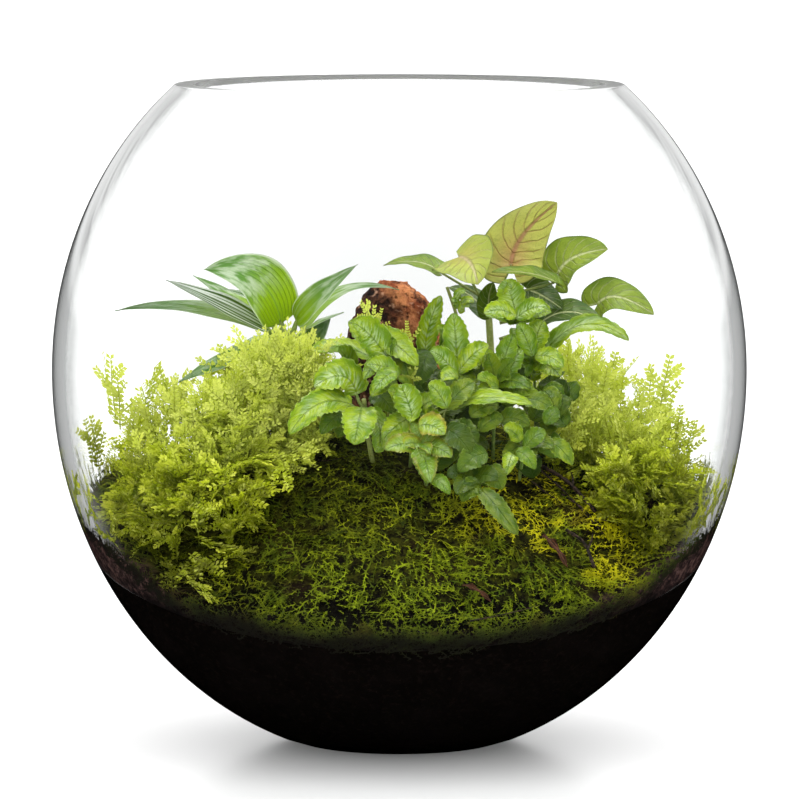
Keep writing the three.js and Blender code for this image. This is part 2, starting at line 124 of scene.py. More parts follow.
def tube(path, radii, around=8):
    """A round stem along path: circles square to it, with a fan at each end."""
    path = np.asarray(path, float)
    radii = np.broadcast_to(radii, len(path))
    along = unit(np.gradient(path, axis=0))
    side = unit(np.cross(along, [0.31, -0.77, 0.55]))
    up = np.cross(side, along)
    angle = np.arange(around) / around * TURN
    circle = np.cos(angle)[None, :, None] * side[:, None] - np.sin(angle)[None, :, None] * up[:, None]
    rings = path[:, None] + circle * radii[:, None, None]
    return closed_tube(rings, path[0], path[-1])


class Heap:
    """Points, faces and point values of many small shapes, on their way into one mesh."""

    def __init__(self):
        self.points, self.faces, self.values, self.count = [], [], {}, 0

    def add(self, points, faces, **values):
        """One shape. Each value is one for every point, or one for all of them."""
        self.points.append(points)
        self.faces += [block + self.count for block in faces]
        self.count += len(points)
        for name, value in values.items():
            value = np.asarray(value, np.float32)
            if value.shape[:1] != (len(points),):
                value = np.broadcast_to(value, (len(points), *value.shape))
            self.values.setdefault(name, []).append(value)

    def add_copies(self, points, faces, **values):
        """Many copies of a shape: points (copies, corners, 3), and the faces of one copy."""
        copies, corners = points.shape[:2]
        step = (np.arange(copies) * corners)[:, None, None]
        blocks = [(block[None] + step).reshape(-1, block.shape[1]) for block in faces]
        flat = {key: np.broadcast_to(value, (copies, corners)).ravel() for key, value in values.items()}
        self.add(points.reshape(-1, 3), blocks, **flat)


def mesh_object(name, heap, finish, smooth=True, crease=None):
    """All that is on a heap as one mesh object in a material. Edges sharper than crease degrees
    stay sharp, and the value uv becomes a UV map."""
    points = np.vstack(heap.points)
    sizes = np.concatenate([np.full(len(block), block.shape[1]) for block in heap.faces])
    corners = np.concatenate([block.ravel() for block in heap.faces])
    starts = np.concatenate([[0], np.cumsum(sizes)[:-1]])
    mesh = bpy.data.meshes.new(name)
    mesh.vertices.add(len(points))
    mesh.vertices.foreach_set("co", points.ravel().astype(np.float32))
    mesh.loops.add(len(corners))
    mesh.loops.foreach_set("vertex_index", corners.astype(np.int32))
    mesh.polygons.add(len(sizes))
    mesh.polygons.foreach_set("loop_start", starts.astype(np.int32))
    mesh.polygons.foreach_set("use_smooth", np.full(len(sizes), smooth))
    mesh.update(calc_edges=True)
    for key, blocks in heap.values.items():
        values = np.concatenate(blocks).astype(np.float32)
        if key == "uv":
            mesh.uv_layers.new(name="UVMap").data.foreach_set("uv", values[corners].ravel())
        elif values.ndim == 2:
            mesh.attributes.new(key, "FLOAT_VECTOR", "POINT").data.foreach_set("vector", values.ravel())
        else:
            mesh.attributes.new(key, "FLOAT", "POINT").data.foreach_set("value", values)
    if crease is not None:
        mesh.set_sharp_from_angle(angle=math.radians(crease))
    mesh.materials.append(finish)
    made = bpy.data.objects.new(name, mesh)
    bpy.context.scene.collection.objects.link(made)
    return made


def piece(name, heap, finish, slot, stands_for, smooth=True, crease=None):
    """A finished piece, which rides on root in place of the CAD nodes that it stands for."""
    made = mesh_object(name, heap, finish, smooth, crease)
    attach(made, "root")
    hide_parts(*stands_for)


# ---------------------------------------------------------------- what the CAD says

# Points nearer than this are one point, and bowl points nearer than this in height are one ring.
SAME_POINT = 2e-6
SAME_RING = 0.02 * MM
# A leaf solid that is thicker than this at its root starts with a stalk.
STALK_DEPTH = 1.1 * MM


def node_mesh(name):
    """A CAD node's points and triangles, with equal points made one."""
    data = nodes[name].data
    loose = np.zeros(len(data.vertices) * 3, np.float32)
    data.vertices.foreach_get("co", loose)
    loose = loose.reshape(-1, 3).astype(float)
    corners = np.zeros(len(data.loops), np.int32)
    data.loops.foreach_get("vertex_index", corners)
    places = np.round(loose / SAME_POINT).astype(int)
    _, which, same = np.unique(places, axis=0, return_index=True, return_inverse=True)
    return loose[which], same.reshape(-1)[corners].reshape(-1, 3)


def steps_from(joined, start):
    """The number of edges from one point to each other one, and -1 where no way leads."""
    away = np.full(len(joined), -1)
    away[start] = step = 0
    while (away == step).any():
        near = joined[away == step].any(0) & (away < 0)
        step += 1
        away[near] = step
    return away


def leaf_guide(name):
    """How a leaf node runs: its stalk's middle line or None, its midrib from root to tip, the half
    width of the blade and the way its upper face looks at each point of the midrib. A leaf solid
    is rings of two edge points and two ridge points between a point at each end. The ends are the
    two four-edged points farthest apart, and the number of edges from one tells a corner's ring.
    The end where the leaf is thicker is its root, and a leaf with a stalk starts with three rings
    of it."""
    points, triangles = node_mesh(name)
    pairs = np.vstack([triangles[:, [0, 1]], triangles[:, [1, 2]], triangles[:, [2, 0]]])
    joined = np.zeros((len(points), len(points)), bool)
    joined[pairs[:, 0], pairs[:, 1]] = joined[pairs[:, 1], pairs[:, 0]] = True
    fours = np.flatnonzero(joined.sum(1) == 4)
    steps = [steps_from(joined, start) for start in fours]
    away = max(steps, key=lambda row: row[fours].max())
    first, last = points[away.argmin()], points[away.argmax()]
    middles, halves, depths, faces = [], [], [], []
    for step in range(1, away.max()):
        ring = np.flatnonzero(away == step)
        across = ring[~joined[ring[0], ring] & (ring != ring[0])][0]
        others = ring[joined[ring[0], ring]]
        spans = [points[ring[0]] - points[across], points[others[0]] - points[others[1]]]
        centres = [points[[ring[0], across]].mean(0), points[others].mean(0)]
        wide, thick = (0, 1) if np.linalg.norm(spans[0]) > np.linalg.norm(spans[1]) else (1, 0)
        middles.append(centres[thick])
        halves.append(np.linalg.norm(spans[wide]) / 2)
        depths.append(np.linalg.norm(spans[thick]))
        faces.append(unit(spans[thick]) * (1 if spans[thick] @ FRONT > 0 else -1))
    if depths[0] < depths[-1]:
        first, last = last, first
        middles, halves, depths, faces = middles[::-1], halves[::-1], depths[::-1], faces[::-1]
    stalk = None
    if depths[0] > STALK_DEPTH:
        stalk = np.array([first, *middles[:3]])
        first = middles[2] + (middles[2] - middles[1]) * 0.1
        middles, halves, faces = middles[3:], halves[3:], faces[3:]
    return stalk, np.array([first, *middles, last]), max(halves), np.array([faces[0], *faces, faces[-1]])


def rod_guide(name, sides=6):
    """The middle line and the radius of a rod node: its corners, in order along it, in sixes."""
    points, _ = node_mesh(name)
    centre = points.mean(0)
    way = np.linalg.svd(points - centre)[2][0]
    way = way if way[2] > 0 else -way
    order = np.argsort((points - centre) @ way)
    rings = points[order[: len(order) // sides * sides]].reshape(-1, sides, 3)
    middles = rings.mean(1)
    return middles, np.linalg.norm(rings - middles[:, None], axis=-1).mean()


def corners_of(name):
    """A node's points as distance from the bowl's axis and height, in whole hundredths of a mm."""
    points, _ = node_mesh(name)
    flat = np.stack([np.hypot(points[:, 0], points[:, 1]), points[:, 2]], -1)
    return np.unique(np.round(flat / MM, 2), axis=0) * MM


def ring_at(height):
    """The distances from the axis of the bowl's points at a height."""
    return bowl_rings[np.abs(bowl_rings[:, 1] - height) < SAME_RING, 0]


bowl_rings = corners_of("glass_bowl")
BELLY_RADIUS, BELLY_HEIGHT = bowl_rings[bowl_rings[:, 0].argmax()]
INNER_RADIUS = ring_at(BELLY_HEIGHT).min()
BASE_RADIUS = ring_at(0).max()
RIM_HEIGHT = bowl_rings[:, 1].max()
# The rim's edges are eased, so the wall itself ends at the lowest ring within a millimetre of it.
rim_edge = bowl_rings[bowl_rings[:, 1] > RIM_HEIGHT - 1 * MM, 1].min()
at_rim = ring_at(rim_edge)
floor_ring = bowl_rings[(bowl_rings[:, 0] < INNER_RADIUS) & (bowl_rings[:, 1] > 3 * MM)]
FLOOR_HEIGHT = floor_ring[:, 1].min()
FLOOR_RADIUS = floor_ring[floor_ring[:, 1] < FLOOR_HEIGHT + SAME_RING, 0].max()


def dome_height(radius, height, belly):
    """The half height of the ellipse of radius belly at the belly through a point."""
    return abs(height - BELLY_HEIGHT) / math.sqrt(1 - (radius / belly) ** 2)


lowest_outer = bowl_rings[(bowl_rings[:, 1] > 0.5 * MM) & (bowl_rings[:, 1] < 3 * MM)][0]
OUTER_UPPER = dome_height(at_rim.max(), rim_edge, BELLY_RADIUS)
OUTER_LOWER = dome_height(*lowest_outer, BELLY_RADIUS)
INNER_UPPER = dome_height(at_rim.min(), rim_edge, INNER_RADIUS)
INNER_LOWER = dome_height(FLOOR_RADIUS, FLOOR_HEIGHT, INNER_RADIUS)


def wall_radius(height):
    """The distance of the inner wall from the axis: its belly times sqrt(1 - (rise / half height)^2)."""
    rise = np.asarray(height) - BELLY_HEIGHT
    share = rise / np.where(rise > 0, INNER_UPPER, INNER_LOWER)
    return INNER_RADIUS * np.sqrt(np.clip(1 - share**2, 0, 1))


def mound_terms():
    """The moss carpet's top as height = a + b x^2 + c y^2 + d y, by least squares. Its underside is
    the same surface lower down, so a first fit parts the two and the next ones take the top."""
    points, _ = node_mesh("moss_carpet")
    x, y, z = points.T
    terms = np.stack([np.ones_like(x), x**2, y**2, y], -1)
    keep = np.ones(len(z), bool)
    for _ in range(6):
        found = np.linalg.lstsq(terms[keep], z[keep], rcond=None)[0]
        keep = z > terms @ found - 0.2 * MM
    return found


MOUND = mound_terms()
# How far the soil lies below the top of the mound.
MOSS_DEPTH = 12 * MM


def mound(x, y):
    """The height of the smooth moss mound."""
    return MOUND[0] + MOUND[1] * x**2 + MOUND[2] * y**2 + MOUND[3] * y


def reach(surface, angles, spare):
    """The distance from the axis at which a surface meets the glass less spare, by 30 halvings."""
    near, far = np.zeros_like(angles), np.full_like(angles, INNER_RADIUS)
    for _ in range(30):
        middle = (near + far) / 2
        height = surface(middle * np.cos(angles), middle * np.sin(angles))
        within = middle < wall_radius(height) - spare
        near, far = np.where(within, middle, near), np.where(within, far, middle)
    return near


# ---------------------------------------------------------------- materials


def paint(red, green, blue):
    """A screen colour of 0 to 255 a channel as the linear colour that a shader takes."""
    shares = [value / 255 for value in (red, green, blue)]
    return (*[s / 12.92 if s < 0.04045 else ((s + 0.055) / 1.055) ** 2.4 for s in shares], 1)


class Value:
    """What comes out of a node: a number, a vector, a colour or a shader. Arithmetic on it adds
    Math nodes."""

    def __init__(self, finish, socket):
        self.finish, self.socket = finish, socket

    def math(self, operation, *others, first=None):
        """A Math node's result for this number, or for first, and the others."""
        terms = [self if first is None else first, *others]
        return self.finish.out("Math", dict(enumerate(terms)), operation=operation)

    def __add__(self, other):
        return self.math("ADD", other)

    def __sub__(self, other):
        return self.math("SUBTRACT", other)

    def __rsub__(self, other):
        return self.math("SUBTRACT", self, first=other)

    def __mul__(self, other):
        return self.math("MULTIPLY", other)

    def __pow__(self, other):
        return self.math("POWER", other)

    __radd__, __rmul__ = __add__, __mul__

    def step(self, low, high):
        """0 below low and 1 above high, smooth between them. With low above high it falls."""
        inputs = {"Value": self, "From Min": low, "From Max": high}
        return self.finish.out("MapRange", inputs, interpolation_type="SMOOTHSTEP")

    def parts(self):
        """The X, Y and Z of a vector."""
        return [Value(self.finish, output) for output in self.finish.add("SeparateXYZ", {0: self})]


class Finish:
    """A material, or the world, made of nodes."""

    def __init__(self, name, tree=None):
        if tree is None:
            self.material = bpy.data.materials.new(name)
            self.material.use_nodes = True
            tree = self.material.node_tree
        self.tree = tree
        tree.nodes.clear()

    def add(self, kind, inputs=None, **settings):
        """A node with its settings, and a value or a link in each of its named or numbered
        sockets. Returns all its outputs."""
        node = self.tree.nodes.new("ShaderNode" + kind)
        for key, value in settings.items():
            setattr(node, key, value)
        for key, value in (inputs or {}).items():
            if isinstance(value, Value):
                self.tree.links.new(value.socket, node.inputs[key])
            else:
                node.inputs[key].default_value = value
        return node.outputs

    def out(self, kind, inputs=None, output=0, **settings):
        """One output of such a node."""
        return Value(self, self.add(kind, inputs, **settings)[output])

    def place(self):
        """Object coordinates, which are the row frame's."""
        return self.out("TexCoord", output="Object")

    def attribute(self, name, output="Fac"):
        """A value that the mesh has at each point."""
        return self.out("Attribute", output=output, attribute_name=name)

    def leaf(self):
        """What a leaf has: u across and v along it, side from 0 at the midrib to 1 at the edge, its
        tone, and how pale it is, how much painted shade darkens it and how flushed it is."""
        u, v, _ = self.out("TexCoord", output="UV").parts()
        side = (u - 0.5).math("ABSOLUTE") * 2
        return u, v, side, self.attribute("tone"), *self.attribute("look", "Vector").parts()

    def noise(self, where, scale, detail=3.0, roughness=0.55):
        """Smooth noise of about 0.5, with scale waves a metre."""
        inputs = {"Vector": where, "Scale": scale, "Detail": detail, "Roughness": roughness}
        return self.out("TexNoise", inputs)

    def cloud(self, x, y, seed, detail):
        """Noise over two numbers, another one for each seed."""
        return self.noise(self.out("CombineXYZ", {0: x, 1: y, 2: seed}), 1.0, detail)

    def mix(self, share, first, second):
        """Two colours mixed by share."""
        return self.out("Mix", {0: share, 6: first, 7: second}, 2, data_type="RGBA")

    def layers(self, colour, *coats):
        """A colour with coats of (share, red, green, blue) laid over it in turn."""
        for share, *shade in coats:
            colour = self.mix(share, colour, paint(*shade))
        return colour

    def bump(self, height, distance):
        """The normal of a surface that is raised by height times distance."""
        return self.out("Bump", {"Height": height, "Distance": distance})

    def blend(self, share, first, second):
        """Two shaders mixed by share."""
        return self.out("MixShader", {0: share, 1: first, 2: second})

    def surface(self, shader):
        """The material, with its shader in place."""
        self.add("OutputMaterial", {"Surface": shader})
        return self.material

    def close(self, colour, roughness, specular, normal=None, coat=None, through=None, glow=None):
        """The material as a Principled shader, with a coat of (weight, roughness) where there is one.
        Where glow is a colour, the share through of the light comes through the thin body in it."""
        inputs = {"Base Color": colour, "Roughness": roughness, "Specular IOR Level": specular}
        if normal is not None:
            inputs["Normal"] = normal
        if coat is not None:
            inputs["Coat Weight"], inputs["Coat Roughness"] = coat
        shader = self.out("BsdfPrincipled", inputs)
        if glow is not None:
            shader = self.blend(through, shader, self.out("BsdfTranslucent", {"Color": glow}))
        return self.surface(shader)


def glass_finish():
    """Clear glass with a grey-green breath of tint, frosted where the rim is ground flat. Shadow
    and diffuse rays go straight through it, so light reaches what is inside."""
    glass = Finish("clear_glass")
    inputs = {"Color": (0.985, 0.99, 0.988, 1), "Roughness": 0.0, "IOR": 1.5}
    polished = glass.out("BsdfGlass", inputs)
    ground = glass.out("BsdfGlass", {**inputs, "Roughness": 0.5})
    rim = glass.place().parts()[2].step(RIM_HEIGHT - 0.3 * MM, RIM_HEIGHT - 0.1 * MM)
    clear = glass.blend(rim, polished, ground)
    plain = glass.out("BsdfTransparent", {"Color": (0.97, 0.98, 0.975, 1)})
    path = glass.add("LightPath")
    shadow, diffuse = (Value(glass, path[f"Is {kind} Ray"]) for kind in ("Shadow", "Diffuse"))
    return glass.surface(glass.blend(shadow.math("MAXIMUM", diffuse), clear, plain))


def soil_finish():
    """Wet dark soil: near black, with brown crumbs and a few pale grains."""
    soil = Finish("dark_soil")
    where = soil.place()
    crumbs = soil.noise(where, 420.0, 5.0, 0.7)
    patches = soil.noise(where, 45.0)
    grains = soil.noise(where, 900.0, 2.0).step(0.72, 0.8)
    colour = soil.layers(
        paint(5, 4, 3),
        (crumbs.step(0.5, 0.72), 20, 15, 13),
        (patches.step(0.45, 0.75) * 0.6, 12, 9, 8),
        (grains * 0.4, 60, 48, 40),
    )
    return soil.close(colour, 0.85, 0.0, soil.bump(crumbs + patches * 0.5, 0.0012))


def moss_bed_finish():
    """The mat under the moss fronds: peat brown with olive felt, paler roots against the glass, and
    nearly black low down, to a ragged line."""
    bed = Finish("moss_bed")
    where = bed.place()
    felt = bed.noise(where, 260.0, 6.0, 0.7)
    patches = bed.noise(where, 30.0)
    ragged = where.parts()[2] + (patches - 0.5) * 0.03 + (felt - 0.5) * 0.02
    mat = bed.layers(
        paint(14, 11, 5),
        (felt.step(0.4, 0.65), 60, 62, 10),
        (patches.step(0.5, 0.7) * 0.7, 40, 24, 14),
    )
    roots = bed.layers(paint(30, 20, 21), (felt.step(0.4, 0.7), 92, 66, 64))
    colour = bed.mix(bed.attribute("wall") * 0.9, mat, roots)
    colour = bed.layers(colour, (ragged.step(0.088, 0.068) * 0.95, 8, 6, 5))
    return bed.close(colour, 0.9, 0.05, bed.bump(felt, 0.002))


def moss_finish():
    """Moss fronds: olive green, gold over the right half, browner over the left and darker there with
    painted shade, painted light at the front, dark at the frond's root, and nearly black low down
    by the glass."""
    moss = Finish("moss_fronds")
    where = moss.place()
    x, y, z = where.parts()
    tone, along = moss.attribute("tone"), moss.attribute("along")
    patches = moss.noise(where, 26.0)
    gold = moss.noise(where, 38.0).step(0.42, 0.54) * (x - y * 0.2).step(0.02, 0.07)
    gold = gold * y.step(-0.085, -0.07) * x.step(0.108, 0.085)
    brown = moss.noise(where, 55.0, 2.0).step(0.58, 0.68)
    brown = brown + moss.noise(where, 42.0).step(0.5, 0.62) * x.step(-0.02, -0.06) * 0.7
    # Painted light: brighter green in patches over the front of the mound.
    front_painted_light = y.step(-0.07, -0.095) * x.step(-0.07, -0.02) * tone * patches.step(0.62, 0.45)
    deep = (z - (x * x * 12) ** 2.0 + (patches - 0.5) * 0.02).step(0.073, 0.059)
    colour = moss.layers(
        paint(56, 70, 6),
        (tone**1.5, 160, 168, 20),
        (patches.step(0.42, 0.62) * 0.5, 84, 106, 12),
        (gold * 0.9, 206, 198, 20),
        ((brown * 0.7).math("MINIMUM", 0.8), 66, 42, 20),
        # Painted shade over the left.
        (x.step(0.03, -0.03) * 0.3, 30, 34, 6),
        (front_painted_light * 0.8, 136, 156, 20),
        (along.step(0.55, 0.0) * 0.7, 20, 18, 6),
        (deep * 0.95, 12, 10, 7),
    )
    return moss.close(colour, 0.6, 0.08, through=0.15 - deep * 0.15, glow=paint(120, 130, 10))


def spikemoss_finish():
    """Spikemoss: yellow-green scale leaves, palest at the tips, with painted light high up, painted
    glints, olive patches that grow lower down as painted shade, brown-green at the root of a sprig,
    and painted shade low in a clump."""
    spike = Finish("spikemoss")
    where = spike.place()
    tone, along = spike.attribute("tone"), spike.attribute("along")
    x, _, height = where.parts()
    # Olive patches at random, more of them lower down: partly the plant's colour, partly painted shade.
    olive = spike.noise(where, 75.0, 2.0).step(0.5, 0.36) * height.step(0.16, 0.12)
    # Painted glints: small pale flecks.
    glint = spike.noise(where, 420.0, 2.0).step(0.54, 0.66)
    # Painted shade low in a clump, stronger on the right.
    low = height.step(0.13, 0.09) * (x.step(0.0, 0.04) * 0.35 + 0.45)
    colour = spike.layers(
        paint(92, 110, 8),
        # Tone brightens a sprig; in a clump it carries painted shade for sprigs deep inside.
        (tone, 192, 204, 30),
        (along.step(0.5, 1.0) * 0.7, 226, 228, 72),
        (olive * 0.75, 58, 58, 10),
        (glint * 0.5, 240, 244, 120),
        (low, 70, 70, 10),
        # Painted light: paler high up on a clump.
        (height.step(0.12, 0.155) * 0.6, 236, 240, 140),
        (along.step(0.35, 0.0) * 0.75, 66, 58, 20),
    )
    through = height.step(0.1, 0.16) * 0.18 + 0.15 - low * 0.1
    return spike.close(colour, 0.5, 0.12, through=through, glow=paint(190, 206, 30))


def vein_lines(share, count, width):
    """Thin lines at each whole step of share * count: 1 on a line and 0 off it."""
    phase = (share * count).math("FRACT")
    return (phase - 0.5).math("ABSOLUTE").step(0.5 - width, 0.5)


def striped_finish():
    """Strap leaves with parallel veins: lime at the root, blue-green with a silvery bloom above that is
    partly painted sheen, pale stripes and a pale edge, and painted shade on leaves that lie in shade."""
    strap = Finish("striped_leaf")
    u, v, side, tone, pale, dark, _ = strap.leaf()
    streaks = strap.cloud(u * 16, v * 0.7, tone * 20, 2.0)
    fine = strap.cloud(u * 60, v * 1.5, tone * 20, 2.0)
    bloom = strap.cloud(u * 5, v * 5, tone * 20, 3.0)
    bold = strap.cloud(u * 9, v * 0.4, tone * 20, 1.0).step(0.53, 0.57)
    lines = vein_lines(u + fine * 0.01, 13.0, 0.14)
    # The pale bloom is partly the leaf's wax and partly painted sheen, so it fades where painted shade
    # darkens a leaf.
    bloom_and_sheen = bloom.step(0.42, 0.62) * v.step(0.25, 0.55) * (1 - dark)
    colour = strap.layers(
        paint(158, 194, 20),
        (v.step(0.2, 0.7), 96, 146, 56),
        (streaks.step(0.5, 0.68) * 0.4, 140, 184, 96),
        # Painted shade on leaves that lie in shade.
        (dark * 0.8, 34, 62, 16),
        (lines * 0.5, 34, 84, 14),
        (bloom_and_sheen * 0.65, 214, 228, 196),
        (bold * pale, 232, 238, 226),
        (side.step(0.9, 0.97) * 0.7, 222, 232, 206),
    )
    normal = strap.bump(streaks + fine * 0.6 - lines * 0.5, 0.0003)
    coat = (bloom.step(0.45, 0.6) * 0.5, 0.12)
    return strap.close(colour, 0.32, 0.4, normal, coat, 0.15, paint(110, 160, 20))


def arrow_finish():
    """Arrowhead leaves: soft green with a pale or flushed midrib and side veins, and a thin dark
    margin. A flushed leaf is pale, and pink from its root. A leaf in shade is darker with painted shade."""
    arrow = Finish("arrow_leaf")
    u, v, side, tone, pale, dark, blush = arrow.leaf()
    cloud = arrow.cloud(u * 3, v * 4, tone * 9, 3.0)
    net = arrow.cloud(u * 30, v * 44, tone * 9, 2.0)
    wet = arrow.cloud(u * 4, v * 6, tone * 5, 2.0).step(0.5, 0.6)
    veins = vein_lines(v - side * 0.34 + cloud * 0.12, 6.5, 0.12) * side.step(1.0, 0.75)
    rib = side.step(0.11, 0.02)
    flush = blush * (1 - v.step(0.15, 0.75)) * side.step(0.8, 0.1)
    green = arrow.layers(
        paint(72, 110, 14),
        (cloud.step(0.35, 0.65), 122, 148, 34),
        (pale * (1 - side * 0.55), 174, 188, 66),
        # Painted shade on leaves that lie in shade.
        (dark * 0.85, 34, 66, 18),
        (blush * 0.85, 216, 212, 104),
    )
    line = arrow.layers(paint(206, 212, 150), (blush, 168, 108, 72))
    colour = arrow.layers(
        arrow.mix((veins * 0.5).math("MAXIMUM", rib), green, line),
        (flush * 0.6, 196, 128, 92),
        (net.step(0.45, 0.75) * 0.3, 56, 92, 20),
        (side.step(0.93, 0.985) * 0.6, 48, 76, 26),
    )
    normal = arrow.bump(net * 0.4 - veins * 0.8 - rib, 0.0005)
    return arrow.close(colour, 0.36, 0.35, normal, (wet * 0.4, 0.12), 0.2, paint(160, 176, 40))


def scalloped_finish():
    """Scalloped leaves: lime green and glossy, quilted between side veins that leave the midrib at a
    slant, with silvery streaks beside the midrib that are partly painted sheen, a thin dark line on
    it and a pale edge. A leaf in shade is darkened with painted shade."""
    scallop = Finish("scalloped_leaf")
    u, v, side, tone, pale, dark, blush = scallop.leaf()
    bend = v - side * 0.2
    cloud = scallop.cloud(u * 3, v * 4, tone * 30, 3.0)
    net = scallop.cloud(u * 26, v * 40, tone * 30, 2.0)
    streak = scallop.cloud(side * 2.5, bend * 26, tone * 30, 3.0)
    wet = scallop.cloud(u * 4, v * 6, tone * 7, 2.0).step(0.48, 0.58)
    veins = vein_lines(bend, 9.0, 0.13)
    rib = side.step(0.07, 0.02)
    # How far painted shade leaves a leaf lit: veins, edge, coat and translucency fade with it.
    light = 1 - dark * 0.7
    # Silvery streaks, partly the leaf's markings and partly painted sheen, fading on shaded leaves.
    silver_and_sheen = side.step(0.8, 0.1) * streak.step(0.4, 0.62) * (0.35 + pale) * (1 - dark)
    colour = scallop.layers(
        paint(116, 150, 8),
        (tone, 164, 186, 18),
        (cloud.step(0.4, 0.62) * 0.7, 76, 122, 6),
        (silver_and_sheen, 200, 220, 160),
        # Painted shade on leaves that lie in shade.
        (dark * 0.9, 22, 44, 2),
        (veins * 0.13 * light, 178, 204, 104),
        (net.step(0.45, 0.75) * 0.2, 48, 92, 6),
        (rib * 0.4, 54, 92, 16),
        (side.step(0.9, 1.0) * 0.5 * light, 190, 210, 110),
        (blush * side.step(0.5, 0.9) * 0.7, 160, 96, 60),
    )
    normal = scallop.bump(net * 0.15 - veins * 0.25 - rib * 0.6 + streak * 0.6, 0.0006)
    coat = (wet * 0.8 * light, 0.1)
    return scallop.close(colour, 0.34, 0.2, normal, coat, 0.2 * light, paint(130, 170, 16))


def stalk_finish():
    """Stems and stalks: tan to green by tone, duller at the foot, with fine pale flecks."""
    stalk = Finish("green_stalk")
    fibre = stalk.noise(stalk.place(), 900.0, 2.0)
    colour = stalk.layers(
        paint(142, 150, 78),
        (stalk.attribute("tone"), 96, 132, 48),
        (fibre.step(0.4, 0.7) * 0.4, 176, 178, 112),
        (stalk.attribute("along").step(0.5, 0.0) * 0.5, 92, 92, 44),
    )
    return stalk.close(colour, 0.45, 0.4, stalk.bump(fibre, 0.0002))


def stone_finish():
    """Lava stone: dark brown on the left, rust and orange on the right, with pale specks, and cracks
    and pits darkened with painted shade."""
    stone = Finish("lava_stone")
    where = stone.place()
    x, _, z = where.parts()
    rough = stone.noise(where, 150.0, 6.0, 0.75)
    patches = stone.noise(where, 42.0, 4.0)
    rust = (x * 18 + z * 9 + patches * 1.5).step(2.1, 2.5)
    pale = stone.noise(where, 240.0).step(0.58, 0.68)
    cracks = stone.noise(where, 90.0, 5.0, 0.8).step(0.47, 0.4)
    pits = stone.out("TexVoronoi", {"Vector": where, "Scale": 330.0}).step(0.3, 0.1)
    brown = stone.layers(paint(26, 14, 11), (rough.step(0.4, 0.65), 104, 62, 40))
    orange = stone.layers(paint(140, 68, 38), (rough.step(0.38, 0.62), 230, 150, 98))
    colour = stone.layers(
        stone.mix(rust, brown, orange),
        (pale * 0.5, 224, 172, 140),
        # Painted shade in the cracks and pits.
        (cracks * 0.75, 28, 12, 9),
        (pits * 0.6, 30, 14, 10),
    )
    return stone.close(colour, 0.85, 0.2, stone.bump(rough - pits * 0.4 - cracks * 0.3, 0.003))


def bark_finish():
    """Dead twigs: dark brown bark with grey-brown scuffs."""
    bark = Finish("twig_bark")
    rough = bark.noise(bark.place(), 700.0, 4.0)
    colour = bark.layers(paint(20, 12, 9), (rough.step(0.4, 0.7), 74, 54, 40))
    return bark.close(colour, 0.8, 0.3, bark.bump(rough, 0.0003))


def dry_leaf_finish():
    """Dry fallen leaves: blotched dark brown, tan along the midrib."""
    dry = Finish("dry_leaf")
    u, v, side, *_ = dry.leaf()
    blotch = dry.cloud(u * 6, v * 8, 0.0, 4.0)
    colour = dry.layers(
        paint(30, 17, 9),
        (blotch.step(0.38, 0.62), 88, 50, 27),
        (side.step(0.14, 0.03) * 0.3, 108, 76, 42),
    )
    return dry.close(colour, 0.7, 0.2, dry.bump(blotch, 0.0005))


# ---------------------------------------------------------------- bowl, soil and moss


def spin(profile, around):
    """Rings of a profile of (distance, height) rows about the axis."""
    angle = np.arange(around) / around * TURN
    distance, height = profile[:, :1], profile[:, 1:]
    rows = [distance * np.cos(angle), distance * np.sin(angle), height + 0 * angle]
    return np.stack(rows, -1)


def arc(belly, upper, lower, start, end, rows):
    """Points along the glass from one height to another, even in the ellipse's own angle."""

    def angle_at(height):
        rise = height - BELLY_HEIGHT
        return math.asin(rise / (upper if rise > 0 else lower))

    angle = np.linspace(angle_at(start), angle_at(end), rows)
    rise = np.where(angle > 0, upper, lower) * np.sin(angle)
    return np.stack([belly * np.cos(angle), BELLY_HEIGHT + rise], -1)


def rounded(before, corner, after, size, rows=4):
    """A small round at a corner of a profile, which starts and ends at size from it."""
    return parabola(corner + unit(before - corner) * size, corner, corner + unit(after - corner) * size, rows)


# The glass: rows up each wall, points around, and how far from its corners the edges are eased.
WALL_ROWS, AROUND = 70, 160
FOOT_ROUND, RIM_ROUND, FLOOR_ROUND = 1.2 * MM, 0.7 * MM, 4 * MM


def bowl():
    """The glass: the outer wall up from the base, the flat ground rim with its two eased edges, and
    the inner wall down to the thick floor, spun about the axis."""
    outer = arc(BELLY_RADIUS, OUTER_UPPER, OUTER_LOWER, lowest_outer[1], RIM_HEIGHT, WALL_ROWS)
    inner = arc(INNER_RADIUS, INNER_UPPER, INNER_LOWER, RIM_HEIGHT, FLOOR_HEIGHT, WALL_ROWS)
    out_corner, in_corner = outer[-1], inner[0]
    base = np.array([BASE_RADIUS, 0])
    foot = rounded(np.zeros(2), base, outer[1], FOOT_ROUND)
    lip = rounded(outer[-2], out_corner, in_corner, RIM_ROUND)
    mouth = rounded(out_corner, in_corner, inner[1], RIM_ROUND)
    under = np.stack([np.linspace(0.2, 0.96, 6) * BASE_RADIUS, np.zeros(6)], -1)
    floor_corner = rounded(inner[-2], inner[-1], np.array([0, FLOOR_HEIGHT]), FLOOR_ROUND, 6)
    floor = np.stack([np.linspace(0.85, 0.2, 5) * FLOOR_RADIUS, np.full(5, FLOOR_HEIGHT)], -1)
    profile = np.vstack([under, foot, outer[1:-1], lip, mouth, inner[1:-2], floor_corner, floor])
    heap = Heap()
    heap.add(*closed_tube(spin(profile, AROUND), [0, 0, 0], [0, 0, FLOOR_HEIGHT]))
    piece("glass_bowl_clear", heap, glass_finish(), "glass", ["glass_bowl"], crease=28)


# How far a filling reaches into the glass, and how far loose fronds stay clear of it.
CONTACT = 0.15 * MM
CLEARANCE = 0.8 * MM


